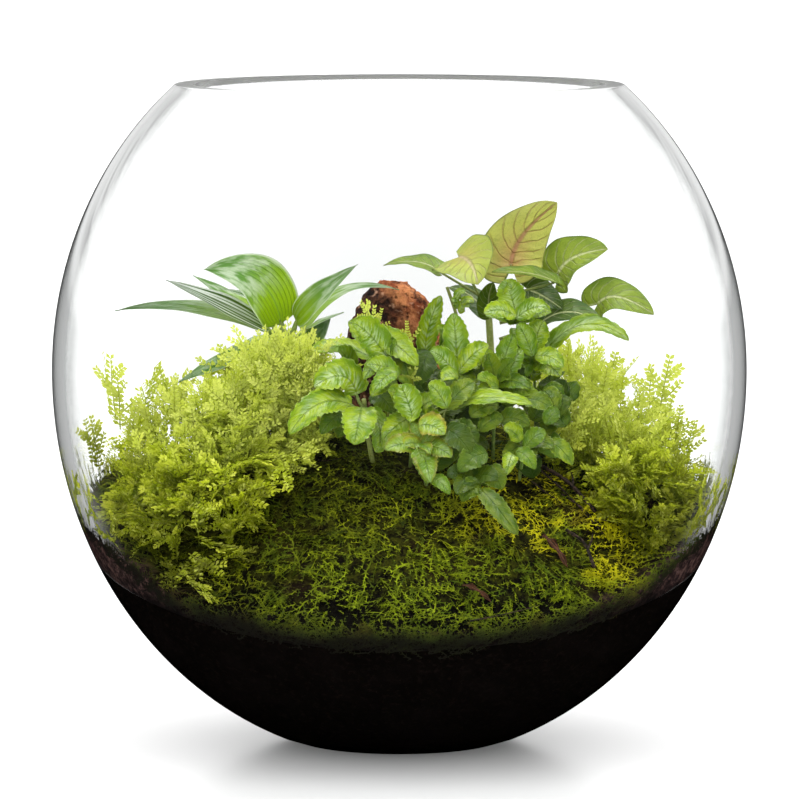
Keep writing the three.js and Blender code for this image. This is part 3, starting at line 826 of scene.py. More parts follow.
def soil_top(x, y):
    """The top of the soil, the moss's depth below the mound."""
    return mound(x, y) - MOSS_DEPTH


def moss_top(x, y):
    """The moss mat: the mound with hummocks of a few millimetres on it, lower by the glass. It
    creeps up towards the glass on the left and on the right."""
    flat = np.stack([x, y, 0 * x], -1)
    rim = smooth_step(np.hypot(x, y), 0.112, 0.125)
    creep = smooth_step(np.abs(x), 0.085, 0.125) * 15 * MM
    lumps = ripple(flat, 42 * MM, 3) * 2.4 * MM + ripple(flat, 13 * MM, 4) * 0.9 * MM
    return mound(x, y) - 1.5 * MM + lumps * (1 - 0.7 * rim) + creep


def outward(angle):
    """Level unit vectors at angles about the axis."""
    return np.stack([np.cos(angle), np.sin(angle), 0 * angle], -1)


def on_glass(angle, height, gap=0.0):
    """Points at angles and heights, a gap in from the inner wall."""
    return outward(angle) * (wall_radius(height) - gap)[:, None] + height[:, None] * UP


def lying(surface, distance, angle):
    """Points on a surface, at distances from the axis and angles about it."""
    x, y = distance * np.cos(angle), distance * np.sin(angle)
    return np.stack([x, y, surface(x, y)], -1)


def packed_in(bottom, top, rows):
    """A filling between two surfaces, pressed against the glass: its rings run along the bottom
    surface, up the glass and back along the top one."""
    angles = np.arange(180) / 180 * TURN
    low, high = reach(bottom, angles, -CONTACT), reach(top, angles, -CONTACT)
    low_height, high_height = lying(bottom, low, angles)[:, 2], lying(top, high, angles)[:, 2]
    rings = [lying(bottom, low * share, angles) for share in np.linspace(0.1, 0.98, rows[0])]
    for share in np.linspace(0, 1, rows[1]):
        height = low_height + (high_height - low_height) * share
        rings.append(on_glass(angles, height, -CONTACT))
    rings += [lying(top, high * share, angles) for share in np.linspace(0.985, 0.02, rows[2])]
    zero = np.zeros(1)
    return closed_tube(rings, lying(bottom, zero, zero)[0], lying(top, zero, zero)[0])


def soil():
    """Soil from the floor to the underside of the moss, a hair into the glass floor."""

    def floor(x, y):
        return FLOOR_HEIGHT - CONTACT + 0 * x

    heap = Heap()
    heap.add(*packed_in(floor, soil_top, (6, 40, 24)))
    piece("soil_fill", heap, soil_finish(), "soil", ["soil"])


def moss_bed():
    """The mat of moss on the soil. Its value wall is 1 against the glass and 0 away from it."""

    def underside(x, y):
        return soil_top(x, y) + 0.3 * MM

    heap = Heap()
    points, faces = packed_in(underside, moss_top, (6, 8, 80))
    share = np.hypot(points[:, 0], points[:, 1]) / wall_radius(points[:, 2])
    heap.add(points, faces, wall=smooth_step(share, 0.93, 0.985))
    piece("moss_bed", heap, moss_bed_finish(), "moss", ["moss_carpet"])


def kept_inside(points):
    """Points pulled in to just clear of the glass, straight towards the axis."""
    distance = np.hypot(points[..., 0], points[..., 1])
    most = wall_radius(points[..., 2]) - CLEARANCE
    share = np.minimum(1, most / np.maximum(distance, 1e-9))
    return points * np.stack([share, share, np.ones_like(share)], -1)


def pressed(points):
    """Points moved straight out to the glass, and a hair into it, where they show through it."""
    share = (wall_radius(points[..., 2]) + 1.7 * CONTACT) / np.hypot(points[..., 0], points[..., 1])
    return points * np.stack([share, share, np.ones_like(share)], -1)


def upward(surface, x, y):
    """The normals of a surface, from its heights half a millimetre to each side."""
    step = 0.5 * MM
    return unit(np.stack([
        (surface(x - step, y) - surface(x + step, y)) / (2 * step),
        (surface(x, y - step) - surface(x, y + step)) / (2 * step),
        np.ones_like(x),
    ], -1))


def drift(points):
    """The level way that moss runs, which turns slowly from place to place."""
    east, north = ripple(points, 30 * MM, 21), ripple(points, 30 * MM, 22)
    return unit(np.stack([east, north, 0 * east], -1) + 0.01)


def frond(seed, pairs, spread, leaf, width):
    """A moss frond along x, 1 long: a narrow stem ribbon that sways, and pointed leaves in pairs
    on it. Returns points, faces and how far along each point is."""
    dice = np.random.default_rng(seed)
    t = np.linspace(0, 1, pairs + 1)
    sway = np.stack([t, 0.12 * np.sin(t * 4 + dice.uniform(0, 6)), 0 * t], -1)
    thin = np.array([0, width / 2, 0])
    points = [sway + thin * (1 - t[:, None]), sway - thin * (1 - t[:, None])]
    node = np.arange(pairs)
    start = 2 * (pairs + 1)
    faces = [np.stack([node, node + pairs + 1, node + pairs + 2, node + 1], -1)]
    along = [t, t]
    for side in (1, -1):
        base = sway[node]
        size = leaf * (1.05 - 0.6 * t[node]) * dice.uniform(0.7, 1.25, pairs)
        turn = side * (spread + dice.uniform(-0.25, 0.25, pairs))
        lift = dice.uniform(-0.35, 0.5, pairs)
        tip = base + np.stack([np.cos(turn), np.sin(turn), lift], -1) * size[:, None]
        heel = base + np.array([0.35 * leaf, 0, 0])
        points += [heel, tip]
        along += [t[node], t[node] + 0.15]
        faces.append(np.stack([node, start + node, start + pairs + node], -1))
        start += 2 * pairs
    return np.vstack(points), faces, np.clip(np.concatenate(along), 0, 1)


def planted(template, origin, ahead, face, size, curl):
    """Copies of a template: its x goes ahead and its z to face, and it curls towards -z along a
    circle whose angle grows by curl over its length."""
    side = unit(np.cross(face, ahead))
    face = np.cross(ahead, side)
    turn = curl[:, None] * template[None, :, 0]
    safe = np.where(np.abs(curl) < 1e-3, 1e-3, curl)[:, None]
    x = np.sin(turn) / safe + template[None, :, 2] * np.sin(turn)
    z = -(1 - np.cos(turn)) / safe + template[None, :, 2] * np.cos(turn)
    y = np.broadcast_to(template[None, :, 1], x.shape)
    body = x[..., None] * ahead[:, None] + y[..., None] * side[:, None] + z[..., None] * face[:, None]
    return origin[:, None] + body * size[:, None, None]


def grow(heap, template, origin, ahead, face, size, curl, tone, fitted=kept_inside):
    """Planted copies of a template of points, faces and how far along each is, fitted to the glass."""
    points, faces, along = template
    copies = fitted(planted(points, origin, ahead, face, size, curl))
    heap.add_copies(copies, faces, tone=tone, along=along[None])


# How many different fronds there are, each copied many times.
FROND_KINDS = 6


def moss(name, count, edge, seed, front, finish):
    """Half of the moss carpet: fronds strewn over the mat, and along its edge some that are pressed
    flat against the glass. A frond on the mat runs partly with the drift, partly outwards and partly
    at random. It lifts off the mat by a random share and curls back down."""
    dice = np.random.default_rng(seed)
    heap = Heap()
    sign = -1 if front else 1
    distance = np.sqrt(dice.uniform(0, 1, 3 * count)) * INNER_RADIUS
    spot = lying(moss_top, distance, sign * dice.uniform(0, math.pi, 3 * count))
    spot = spot[distance < wall_radius(spot[:, 2]) - 2.5 * MM][:count]
    normal = upward(moss_top, spot[:, 0], spot[:, 1])
    loose = unit(dice.normal(size=spot.shape))
    ahead = drift(spot) * 0.7 + unit(spot * LEVEL) * 0.6 + loose * 0.6
    ahead = unit(ahead - normal * np.sum(ahead * normal, -1, keepdims=True))
    ahead = unit(ahead + normal * dice.uniform(0.1, 0.75, len(spot))[:, None])
    face = unit(normal + loose * 0.5)
    size = dice.uniform(6, 14, len(spot)) * MM
    curl = dice.uniform(0.2, 1.5, len(spot))
    origin = spot - normal * 1.0 * MM
    few = edge // FROND_KINDS
    for kind in range(FROND_KINDS):
        template = frond(seed * 10 + kind, 5, 0.75, 0.19, 0.07)
        own = np.arange(len(spot)) % FROND_KINDS == kind
        tone = dice.uniform(0, 1, (own.sum(), 1))
        grow(heap, template, origin[own], ahead[own], face[own], size[own], curl[own], tone)
        angle = sign * dice.uniform(0, math.pi, few)
        brink = lying(moss_top, reach(moss_top, angle, 0.0), angle)[:, 2]
        foot = on_glass(angle, brink - dice.triangular(-2, 2, 9, few) * MM)
        out = outward(angle)
        way = unit(np.cross(out, UP) * dice.normal(size=(few, 1)) + 0.3 * UP)
        length, bend = dice.uniform(5, 11, few) * MM, dice.uniform(-0.2, 1, few)
        grow(heap, template, foot, way, out, length, bend, dice.uniform(0, 0.4, (few, 1)), pressed)
    piece(name, heap, finish, "moss", [], smooth=False)


# ---------------------------------------------------------------- spikemoss


def sprig(seed, branches, pairs):
    """A spikemoss sprig along x, 1 long: a stem with side branches in turn left and right, and
    small kite leaves in pairs on all of them. Returns points, faces and how far along each is."""
    dice = np.random.default_rng(seed)
    heap = Heap()

    def limb(base, turn, length, leaves, late):
        """One branch from base towards turn, whose leaves count as from late along the sprig."""
        t = np.linspace(0, 1, leaves + 1)[1:]
        angle = turn + dice.uniform(-0.3, 0.3) * t
        way = np.stack([np.cos(angle), np.sin(angle), 0.1 * np.sin(3 * t)], -1)
        spine = base + np.cumsum(way, 0) * length / leaves
        ends = np.array([base, spine[len(spine) // 2], spine[-1]])
        thin = np.array([-math.sin(turn), math.cos(turn), 0]) * 0.012
        ribbon = np.vstack([ends - thin, ends + thin * [[1], [1], [0.3]]])
        heap.add(ribbon, [np.array([[0, 1, 4, 3], [1, 2, 5, 4]])], along=late * 0.5)
        for side in (1, -1):
            lean = angle + side * (1.05 - 0.45 * t)
            size = 0.135 * (1 - 0.2 * t) * dice.uniform(0.8, 1.2, leaves)
            point = np.stack([np.cos(lean), np.sin(lean), dice.uniform(0, 0.5, leaves)], -1)
            point = unit(point) * size[:, None]
            wide, rise = np.cross(point, UP) * 0.29, 0.012 * UP
            middle = spine + point * 0.55
            kites = np.stack([spine, middle + wide + rise, spine + point, middle - wide + rise], 1)
            along = np.clip(late + 0.4 * t, 0, 1)
            heap.add_copies(kites, [np.array([[0, 1, 2, 3]])], along=along[:, None])

    limb(np.zeros(3), 0.0, 1.0, 2 * pairs + 1, 0.25)
    for k in range(branches):
        at = 0.3 + 0.55 * k / branches
        side = 1 if k % 2 else -1
        turn = side * dice.uniform(0.55, 0.9)
        limb(np.array([at, 0, 0]), turn, 0.5 * (1.2 - at) * dice.uniform(0.8, 1.15), pairs - 1, at)
    return np.vstack(heap.points), heap.faces, np.concatenate(heap.values["along"])


# Six sprigs, in turn with two side branches and with three.
SPRIGS = [sprig(60 + k, 2 + k % 2, 5 + k % 2) for k in range(6)]


def surface_points(name, count, dice):
    """Points and outward normals spread evenly over a node's upper faces."""
    points, triangles = node_mesh(name)
    a, b, c = (points[triangles[:, k]] for k in range(3))
    cross = np.cross(b - a, c - a)
    area = np.linalg.norm(cross, axis=-1) * (unit(cross)[:, 2] > -0.25)
    chosen = dice.choice(len(area), count, p=area / area.sum())
    u, v = dice.uniform(0, 1, (2, count, 1))
    over = u + v > 1
    u, v = np.where(over, 1 - u, u), np.where(over, 1 - v, v)
    spot = a[chosen] + (b - a)[chosen] * u + (c - a)[chosen] * v
    return spot, unit(cross[chosen])


def strew(heap, dice, spot, ahead, size, fitted=kept_inside, light=1):
    """Sprigs of all kinds, each with its foot on a spot, fitted to the glass."""
    face = unit(FRONT + dice.normal(size=spot.shape) * 0.5)
    kinds = dice.integers(0, len(SPRIGS), len(spot))
    for kind, template in enumerate(SPRIGS):
        own = kinds == kind
        curl = dice.uniform(-0.2, 1.0, own.sum())
        tone = dice.uniform(0.2, 0.9, (own.sum(), 1)) * light
        grow(heap, template, spot[own], ahead[own], face[own], size[own], curl, tone, fitted)


# Where clumps thin out, in metres: side of the axis, from and to what distance, from and to what
# height, and by how much.
THINNED = [
    (-1, 0.065, 0.09, 0.12, 0.132, 0.5),
    (-1, 0.066, 0.08, 0.144, 0.154, 0.45),
    (1, 0.09, 0.1, 0.13, 0.14, 0.75),
]
# How many sprigs each side has pressed against the glass.
GLASS_SPRIGS = 50


def clump_sprigs(heap, dice, clump, count):
    """Sprigs that rise from within a clump to just past its surface, fewer low down and where the
    clump thins out."""
    spot, normal = surface_points(clump, count, dice)
    x, _, z = spot.T
    thin = sum(
        smooth_step(side * x, near, far) * smooth_step(z, low, high) * share
        for side, near, far, low, high, share in THINNED
    )
    chance = 0.25 + 0.75 * smooth_step(z, 0.09, 0.115) - thin
    kept = dice.uniform(size=count) < chance
    spot, normal, count = spot[kept], normal[kept], kept.sum()
    ahead = unit(normal * 0.75 + UP * 0.35 + dice.normal(size=spot.shape) * 0.42)
    size = dice.uniform(13, 25, count) * MM
    depth = dice.uniform(0.35, 1.0, (count, 1))
    origin = spot - ahead * size[:, None] * depth * 0.85
    face = unit(UP * 0.9 + dice.normal(size=spot.shape) * 0.5 - ahead * 0.2)
    # Painted shade: the deeper a sprig's foot lies in the clump, the lower its tone and the darker it is
    # painted.
    tone = np.clip(1.15 - depth + dice.normal(size=(count, 1)) * 0.2, 0, 1)
    curl = dice.uniform(-0.2, 1.3, count)
    kinds = dice.integers(0, len(SPRIGS), count)
    for kind, template in enumerate(SPRIGS):
        own = kinds == kind
        grow(heap, template, origin[own], ahead[own], face[own], size[own], curl[own], tone[own])


def spikemoss(name, clumps, standing, between, sector, seed, finish):
    """Clumps of spikemoss with a number of sprigs each, long sprigs that stand clear of them, given
    by foot and tip in millimetres, sprigs strewn in boxes between the clumps, and some pressed
    against the glass in a sector, which is a range of degrees about the axis and one of heights."""
    dice = np.random.default_rng(seed)
    heap = Heap()
    for clump, count in clumps.items():
        clump_sprigs(heap, dice, clump, count)
    for k, (foot, tip) in enumerate(standing):
        foot, tip = np.array(foot) * MM, np.array(tip) * MM
        face = unit(FRONT + dice.normal(size=3) * 0.3)
        length, curl = np.linalg.norm(tip - foot), dice.uniform(-0.2, 0.2, 1)
        template = SPRIGS[k % len(SPRIGS)]
        grow(heap, template, foot[None], unit(tip - foot)[None], face[None], length[None], curl, 0.55)
    for low, high, count in between:
        spot = dice.uniform(low, high, (count, 3)) * MM
        ahead = unit([0, -0.3, 0.7] + dice.normal(size=(count, 3)) * 0.45)
        strew(heap, dice, spot, ahead, dice.uniform(14, 24, count) * MM)
    degrees, heights = sector
    angle = dice.uniform(*np.radians(degrees), GLASS_SPRIGS)
    height = dice.uniform(*heights, GLASS_SPRIGS) * MM
    loose = dice.normal(size=(GLASS_SPRIGS, 3)) * 0.4
    ahead = unit(outward(angle) * 0.5 + 0.7 * UP + loose)
    size = dice.uniform(12, 20, GLASS_SPRIGS) * MM
    strew(heap, dice, on_glass(angle, height, 4 * MM), ahead, size, pressed, 0.3)
    piece(name, heap, finish, "spikemoss", list(clumps), smooth=False)


# ---------------------------------------------------------------- leaves

# The numbers of each leaf shape, which blade() puts in words.
SHAPES = {
    "strap": dict(blunt=0.7, sharp=1.3, cup=0.25, lobe=0.0, teeth=0, tooth=0.0, wave=0.05, swell=0.0),
    "arrow": dict(blunt=0.3, sharp=0.8, cup=0.2, lobe=0.3, teeth=0, tooth=0.0, wave=0.05, swell=0.03),
    "scallop": dict(blunt=0.6, sharp=0.72, cup=0.2, lobe=0.0, teeth=11, tooth=0.1, wave=0.09, swell=0.03),
}


# Half of a blade's thickness in its middle, what the midrib adds to it, and the points of its path.
BLADE_THICK, RIB_THICK = 0.17 * MM, 0.12 * MM
PATH_ROWS = 200


def read_at(rows, share):
    """A path's rows at shares of its length, straight between them."""
    where, index = share * (len(rows) - 1), np.arange(len(rows))
    return np.stack([np.interp(where, index, column) for column in rows.T], -1)


def blade(heap, rib, half, face, shape, look, dice, rows=34, across=7, **changes):
    """A leaf blade as a thin closed shell. Its half width at a share t of the midrib is
    half (t / peak)^blunt ((1 - t) / (1 - peak))^sharp. At a share s of that from the midrib, teeth
    cut the edge, cup and wave lift it along the face, lobe sweeps it back at the root, and swell
    quilts it between the side veins."""
    form = {**SHAPES[shape], **changes}
    blunt, sharp = form["blunt"], form["sharp"]
    peak = blunt / (blunt + sharp)
    t = 0.5 - 0.5 * np.cos(np.linspace(0, math.pi, rows + 2)[1:-1])
    path = through(rib, PATH_ROWS)
    centre, normal = read_at(path, t), unit(read_at(unit(through(face, PATH_ROWS)), t))
    along = unit(read_at(np.gradient(path, axis=0), t))
    normal = unit(normal - along * np.sum(normal * along, -1, keepdims=True))
    side = np.cross(along, normal)
    s = np.sin(np.linspace(-1, 1, 2 * across + 1) * math.pi / 2)
    share = np.concatenate([s, s[-2:0:-1]])[None]
    layer = np.repeat([1.0, -1.0], [2 * across + 1, 2 * across - 1])[None]
    edge = np.abs(share)
    t = t[:, None]
    width = half * (t / peak) ** blunt * ((1 - t) / (1 - peak)) ** sharp
    phase = dice.uniform(0, TURN)
    notch = 1.0
    if form["teeth"]:
        notch = np.abs(np.sin(math.pi * form["teeth"] * (t - 0.2 * edge))) ** 0.7
    out = share * width * (1 - form["tooth"] * (1 - notch) * smooth_step(edge, 0.55, 1) * 2)
    wave = form["wave"] * np.sin(TURN * 2.6 * t + phase + 1.3 * np.sign(share)) * edge**3
    quilt = form["swell"] * np.sin(TURN * 9 * (t - 0.2 * edge)) * np.sin(math.pi * edge)
    lift = (form["cup"] * edge**1.35 + wave + quilt) * width + 0 * out
    sweep = form["lobe"] * 2 * half * (1 - t) ** 4 * edge**1.2
    thick = BLADE_THICK * layer * (1 - edge**2) + RIB_THICK * layer * (1 - edge) ** 6
    rings = centre[:, None] + out[..., None] * side[:, None]
    rings = rings + (lift + thick)[..., None] * normal[:, None] - sweep[..., None] * along[:, None]
    points, faces = closed_tube(rings, rib[0], rib[-1])
    uv = np.stack(np.broadcast_arrays(0.5 + 0.5 * share, t), -1).reshape(-1, 2)
    uv = np.vstack([[0.5, 0], uv, [0.5, 1]])
    heap.add(points, faces, uv=uv, look=look, tone=dice.uniform(0, 1))


def stem(heap, path, radii, tone, around=8, rows=14):
    """A stem through points, its radius running evenly from the first to the last of radii."""
    points, faces = tube(through(path, rows), np.linspace(*radii, rows), around)
    along = np.concatenate([[0], np.repeat(np.linspace(0, 1, rows), around), [1]])
    heap.add(points, faces, along=along, tone=tone)


PLAIN = (0.0, 0.0, 0.0)
# How pale, how dark with painted shade and how flushed a leaf is, where it differs from the rest of its
# plant.
LOOKS = {
    "striped_leaf_white": (0.9, 0.9, 0),
    "striped_leaf_upright": (0.1, 0.25, 0),
    "striped_leaf_low": (0.1, 0.65, 0),
    "striped_leaf_long": (0.25, 0.15, 0),
    "striped_leaf_inner": (0.8, 0, 0),
    "striped_leaf_short": (0.9, 0, 0),
    "striped_leaf_under": (1.0, 0, 0),
    "striped_leaf_shaded": (0, 0.5, 0),
    "striped_leaf_back": (0, 0.8, 0),
    "arrow_leaf_upright": (0.15, 0, 0.85),
    "arrow_leaf_folded": (0.7, 0, 0.35),
    "arrow_leaf_right": (0.55, 0, 0),
    "arrow_leaf_far_right": (0.45, 0, 0),
    "arrow_leaf_narrow": (0.3, 0.1, 0),
    "arrow_leaf_level": (0.3, 0.1, 0),
    "arrow_leaf_dark": (0, 0.75, 0),
    "arrow_leaf_low": (0, 0.65, 0),
    "arrow_leaf_inner": (0, 0.7, 0),
    "arrow_leaf_back": (0.1, 0.4, 0),
    "scalloped_leaf_middle_dark": (0, 0.9, 0),
    "scalloped_leaf_hanging": (0, 0.75, 0),
    "scalloped_leaf_tall": (0.25, 0, 0),
    "scalloped_leaf_left_high": (0.35, 0, 0),
    "scalloped_leaf_far_long": (0.3, 0.2, 0),
}

# The scalloped shoots as in the CAD, in millimetres: foot, head and leaf tips, and leaf width.
SHOOTS = {
    "shoot_centre": ([4, -24, 112], [7, -51, 146],
                     [[-5, -57, 158], [-7, -61, 137], [17, -62, 141], [15, -57, 153]], 12),
    "shoot_low": ([12, -40, 108], [9, -62, 134],
                  [[-6, -70, 134], [13, -76, 121], [22, -70, 131]], 11),
    "shoot_middle": ([22, 0, 112], [25, -17, 161],
                     [[23, -20, 186], [13, -25, 171], [41, -25, 170], [31, -29, 155]], 10),
    "shoot_upper": ([46, 8, 112], [51, -10, 183],
                    [[37, -18, 186], [65, -19, 187.5], [47, -15, 201]], 11),
    "shoot_right": ([60, 8, 108], [58, -8, 165],
                    [[58, -12, 182], [69, -18, 160], [46, -12, 157]], 12),
    "shoot_glossy": ([40, -12, 110], [41, -31, 158],
                     [[37, -36, 171], [31, -40, 154], [55, -39, 157], [49, -37, 168]], 9),
    "shoot_round": ([50, -24, 104], [54, -46, 134],
                    [[44, -54, 127], [55, -58, 126], [65, -54, 133], [49, -54, 142]], 9),
    "shoot_creeping": ([30, -44, 104], [31, -68, 121],
                       [[41, -75, 122], [24, -77, 116], [20, -70, 123]], 10),
}
# How pale, how dark with painted shade and how flushed the leaves of some shoots are.
SHOOT_LOOKS = {
    "shoot_round": (0, 0.5, 0.1),
    "shoot_glossy": (0, 0.5, 0),
    "shoot_creeping": (0, 0.9, 0),
    "shoot_low": (0.1, 0.1, 0.4),
    "shoot_upper": (0.3, 0, 0),
}


def leafy_plant(prefix, shape, stems, hubs, seed, **changes):
    """All the blades of one plant. Their stalks go to the stems, and a blade without one in the CAD
    is given a short one from the nearest stem's top, where that is near enough."""
    dice = np.random.default_rng(seed)
    heap = Heap()
    own = sorted(name for name in nodes if name.startswith(prefix))
    for leaf in own:
        stalk, rib, half, face = leaf_guide(leaf)
        blade(heap, rib, half, face, shape, LOOKS.get(leaf, PLAIN), dice, **changes)
        hub = hubs[np.linalg.norm(hubs - rib[0], axis=-1).argmin()]
        if stalk is not None:
            stem(stems, [*stalk, rib[0] * 0.5 + rib[1] * 0.5], (0.75 * MM, 0.4 * MM), 0.3)
        elif np.linalg.norm(hub - rib[0]) < 25 * MM:
            base = hub - 4 * MM * UP
            turn = (base + 2 * rib[0]) / 3 - 1 * MM * UP
            thick = 1.7 * MM if shape == "strap" else 0.9 * MM
            stem(stems, [base, turn, rib[0], rib[0] * 0.4 + rib[1] * 0.6], (thick, 0.4 * MM), 0.6)
    return own, heap, dice


def shoot_leaf(heap, head, tip, width, look, dice, **changes):
    """A leaf that arches 2 mm over the straight line from a shoot's head to a tip."""
    top = 2 * ((head + tip) / 2 + 2 * MM * UP) - 0.5 * (head + tip)
    rib = parabola(head, top, tip, 7)
    blade(heap, rib, width / 2, np.tile(FRONT, (7, 1)), "scallop", look, dice, **changes)


# More leaves of the scalloped plant, in millimetres: root, tip, width, and how pale, how dark with painted
# shade and how flushed.
YOUNG_LEAVES = [
    ([-5, -44, 170], [-15, -52, 162], 8.5, (0.3, 0, 0)),
    ([-1, -50, 165], [-11, -58, 157], 8.5, (0.05, 0, 0)),
    ([-23, -48, 147], [-33, -54, 139], 10, (0, 0.45, 0)),
    ([-20, -46, 145], [-26, -50, 137], 9, (0, 0.55, 0)),
    ([7, -58, 138], [-7, -64, 134], 9, (0.05, 0.2, 0)),
    ([7, -64, 136], [12, -72, 120], 9, (0.05, 0, 0)),
    ([13, -70, 122], [21, -76, 116], 7, (0.1, 0.15, 0)),
    ([8, -60, 143], [19, -66, 140], 13, (0.25, 0, 0.6)),
    ([6, -58, 145], [0, -56, 160], 13, (0.3, 0, 0)),
    ([24, -36, 162], [13, -42, 173], 11, (0.35, 0, 0)),
    ([25, -40, 162], [18, -48, 161], 8, (0.25, 0, 0)),
    ([25, -34, 163], [38, -38, 175], 11, (0.2, 0, 0)),
    ([25, -30, 163], [23, -26, 188], 12, (0.15, 0, 0)),
    ([20, -54, 150], [12, -56, 160], 11, (0.05, 0, 0)),
    ([20, -50, 149], [32, -44, 160], 11, (0, 0.6, 0)),
    ([42, -30, 157], [36, -30, 172], 9, (0.25, 0, 0)),
    ([42, -28, 158], [49, -24, 179], 10, (0, 0.1, 0)),
    ([42, -28, 157], [53, -26, 172], 11, (0.3, 0, 0)),
    ([42, -34, 156], [33, -42, 161], 8, (0, 0.1, 0)),
    ([44, -32, 156], [57, -38, 154], 12, (0, 0.5, 0)),
    ([42, -36, 157], [33, -44, 153], 8, (0.1, 0.2, 0)),
    ([20, -58, 140], [33, -62, 136], 14, (0, 0.85, 0)),
    ([19, -62, 142], [30, -68, 132], 13, (0, 0.9, 0)),
    ([37, -66, 132], [25, -72, 125], 12, (0, 0.7, 0)),
    ([36, -70, 124], [43, -74, 118], 12, (0, 0.75, 0)),
    ([34, -72, 120], [26, -76, 113], 10, (0, 0.75, 0)),
    ([34, -52, 140], [44, -50, 145], 9, (0, 0.6, 0)),
    ([42, -48, 144], [55, -50, 142], 11, (0, 0.7, 0)),
    ([51, -56, 136], [44, -58, 141], 9, (0, 0.25, 0)),
    ([53, -54, 133], [62, -52, 139], 9, (0, 0.3, 0)),
    ([48, -60, 131], [45, -66, 123], 7, (0.25, 0, 0)),
    ([49, -58, 132], [57, -62, 125], 8, (0, 0.25, 0)),
    ([63, -50, 135], [73, -54, 126], 9, (0, 0.45, 0)),
    ([62, -46, 142], [68, -42, 147], 8, (0, 0.5, 0)),
    ([51, -38, 152], [65, -42, 148], 10, (0, 0.6, 0)),
    ([30, -50, 146], [42, -48, 150], 10, (0, 0.55, 0)),
    ([50, -22, 186], [36, -30, 188], 10, (0.35, 0, 0)),
    ([50, -20, 185], [63, -26, 190], 11, (0.4, 0, 0)),
    ([50, -16, 186], [45, -12, 201], 13, (0.15, 0, 0)),
    ([56, -20, 169], [62, -18, 184], 12, (0.1, 0, 0)),
    ([57, -22, 169], [50, -24, 183], 10, (0.1, 0.1, 0)),
    ([58, -22, 169], [70, -28, 165], 10, (0.2, 0, 0)),
    ([-5, -42, 170], [-20, -50, 186], 17, (0.25, 0, 0)),
    ([-12, -36, 181], [8, -44, 167], 13, (0.15, 0.1, 0)),
    ([0, -46, 162], [-14, -52, 168], 11, (0.2, 0, 0)),
    ([-1, -46, 161], [-12, -54, 155], 10, (0.1, 0.1, 0)),
    ([-1, -36, 173], [4, -44, 162], 13, (0, 0.75, 0)),
    ([13, -30, 172], [8, -38, 158], 13, (0, 0.8, 0)),
    ([-8, -38, 168], [-1, -44, 176], 11, (0, 0.3, 0)),
    ([-20, -36, 164], [-26, -42, 173], 11, (0, 0.35, 0)),
    ([-12, -40, 155], [-2, -48, 147], 12, (0, 0.6, 0)),
    ([22, -20, 171], [16, -26, 181], 10, (0.2, 0, 0)),
    ([4, -44, 154], [0, -50, 161], 9, (0, 0.5, 0.2)),
    ([24, -6, 191], [28, -9, 195], 5, (0.3, 0, 0)),
    ([26, -6, 186], [30, -9, 189], 5, (0.3, 0, 0)),
    ([26, -6, 189], [32, -9, 191], 4.5, (0.2, 0, 0)),
    ([25, -6, 188], [23, -9, 191], 4, (0.2, 0, 0)),
    ([35, -8, 139], [51, -12, 150], 15, (0, 0.9, 0)),
    ([25, -8, 155], [38, -12, 169], 14, (0, 0.8, 0)),
    ([20, -8, 136], [35, -12, 149], 13, (0, 0.95, 0)),
]


# How many small leaves, darkened with painted shade, fill the clump, and the upward share from which a stem
# counts as steep.
FILLING_LEAVES = 90
STEEP = 0.95


def shoots(heap, stems, dice):
    """The scalloped shoots: the leaves of each head, five smaller ones between and behind them and
    two pairs of young ones down the stem. Small leaves darkened with painted shade fill the clump
    from behind, and the young leaves lie over it."""
    for name, (*places, width) in SHOOTS.items():
        foot, head, tips = (np.array(rows, float) * MM for rows in places)
        width = width * MM
        look = SHOOT_LOOKS.get(name, PLAIN)
        stem(stems, [foot, (foot + head) / 2 + 5 * MM * UP, head], (0.9 * MM, 0.6 * MM), 0.8)
        axis = unit(head - foot)
        across = unit(np.cross(axis, UP if axis[2] < STEEP else [1.0, 0.0, 0.0]))
        level = np.cross(axis, across)
        length = np.linalg.norm(tips - head, axis=-1).mean()
        for tip in tips:
            shoot_leaf(heap, head, tip, width, look, dice)
        for k in range(5):
            angle = 2.4 * k + dice.uniform(-0.4, 0.4)
            out = across * math.cos(angle) + level * math.sin(angle) + axis * 0.55
            tip = head + unit(out) * (length * dice.uniform(0.45, 0.7))
            small = width * dice.uniform(0.5, 0.7)
            shoot_leaf(heap, head, tip, small, look, dice, rows=18, across=4)
        for share, side in ((0.62, level), (0.8, across)):
            rise = 5 * MM * UP * 4 * share * (1 - share)
            spot = foot * (1 - share) + head * share + rise
            for sign in (1, -1):
                tip = spot + unit(side * sign + axis * 0.6 + FRONT * 0.2) * length * 0.5
                shoot_leaf(heap, spot, tip, width * 0.55, look, dice, rows=18, across=4)
    for _ in range(FILLING_LEAVES):
        tip = dice.uniform([4, -34, 126], [72, 8, 163]) * MM
        root = tip - dice.uniform([-9, 3, 2], [9, 9, 9]) * MM
        # Painted shade: each filling leaf is darkened by half to all of the way.
        shade = (0.0, dice.uniform(0.5, 1.0), 0.0)
        shoot_leaf(heap, root, tip, dice.uniform(8, 13) * MM, shade, dice, rows=16, across=3)
    for root, tip, width, look in YOUNG_LEAVES:
        root, tip = np.array(root) * MM, np.array(tip) * MM
        shoot_leaf(heap, root, tip, width * MM, look, dice, rows=26, across=5)


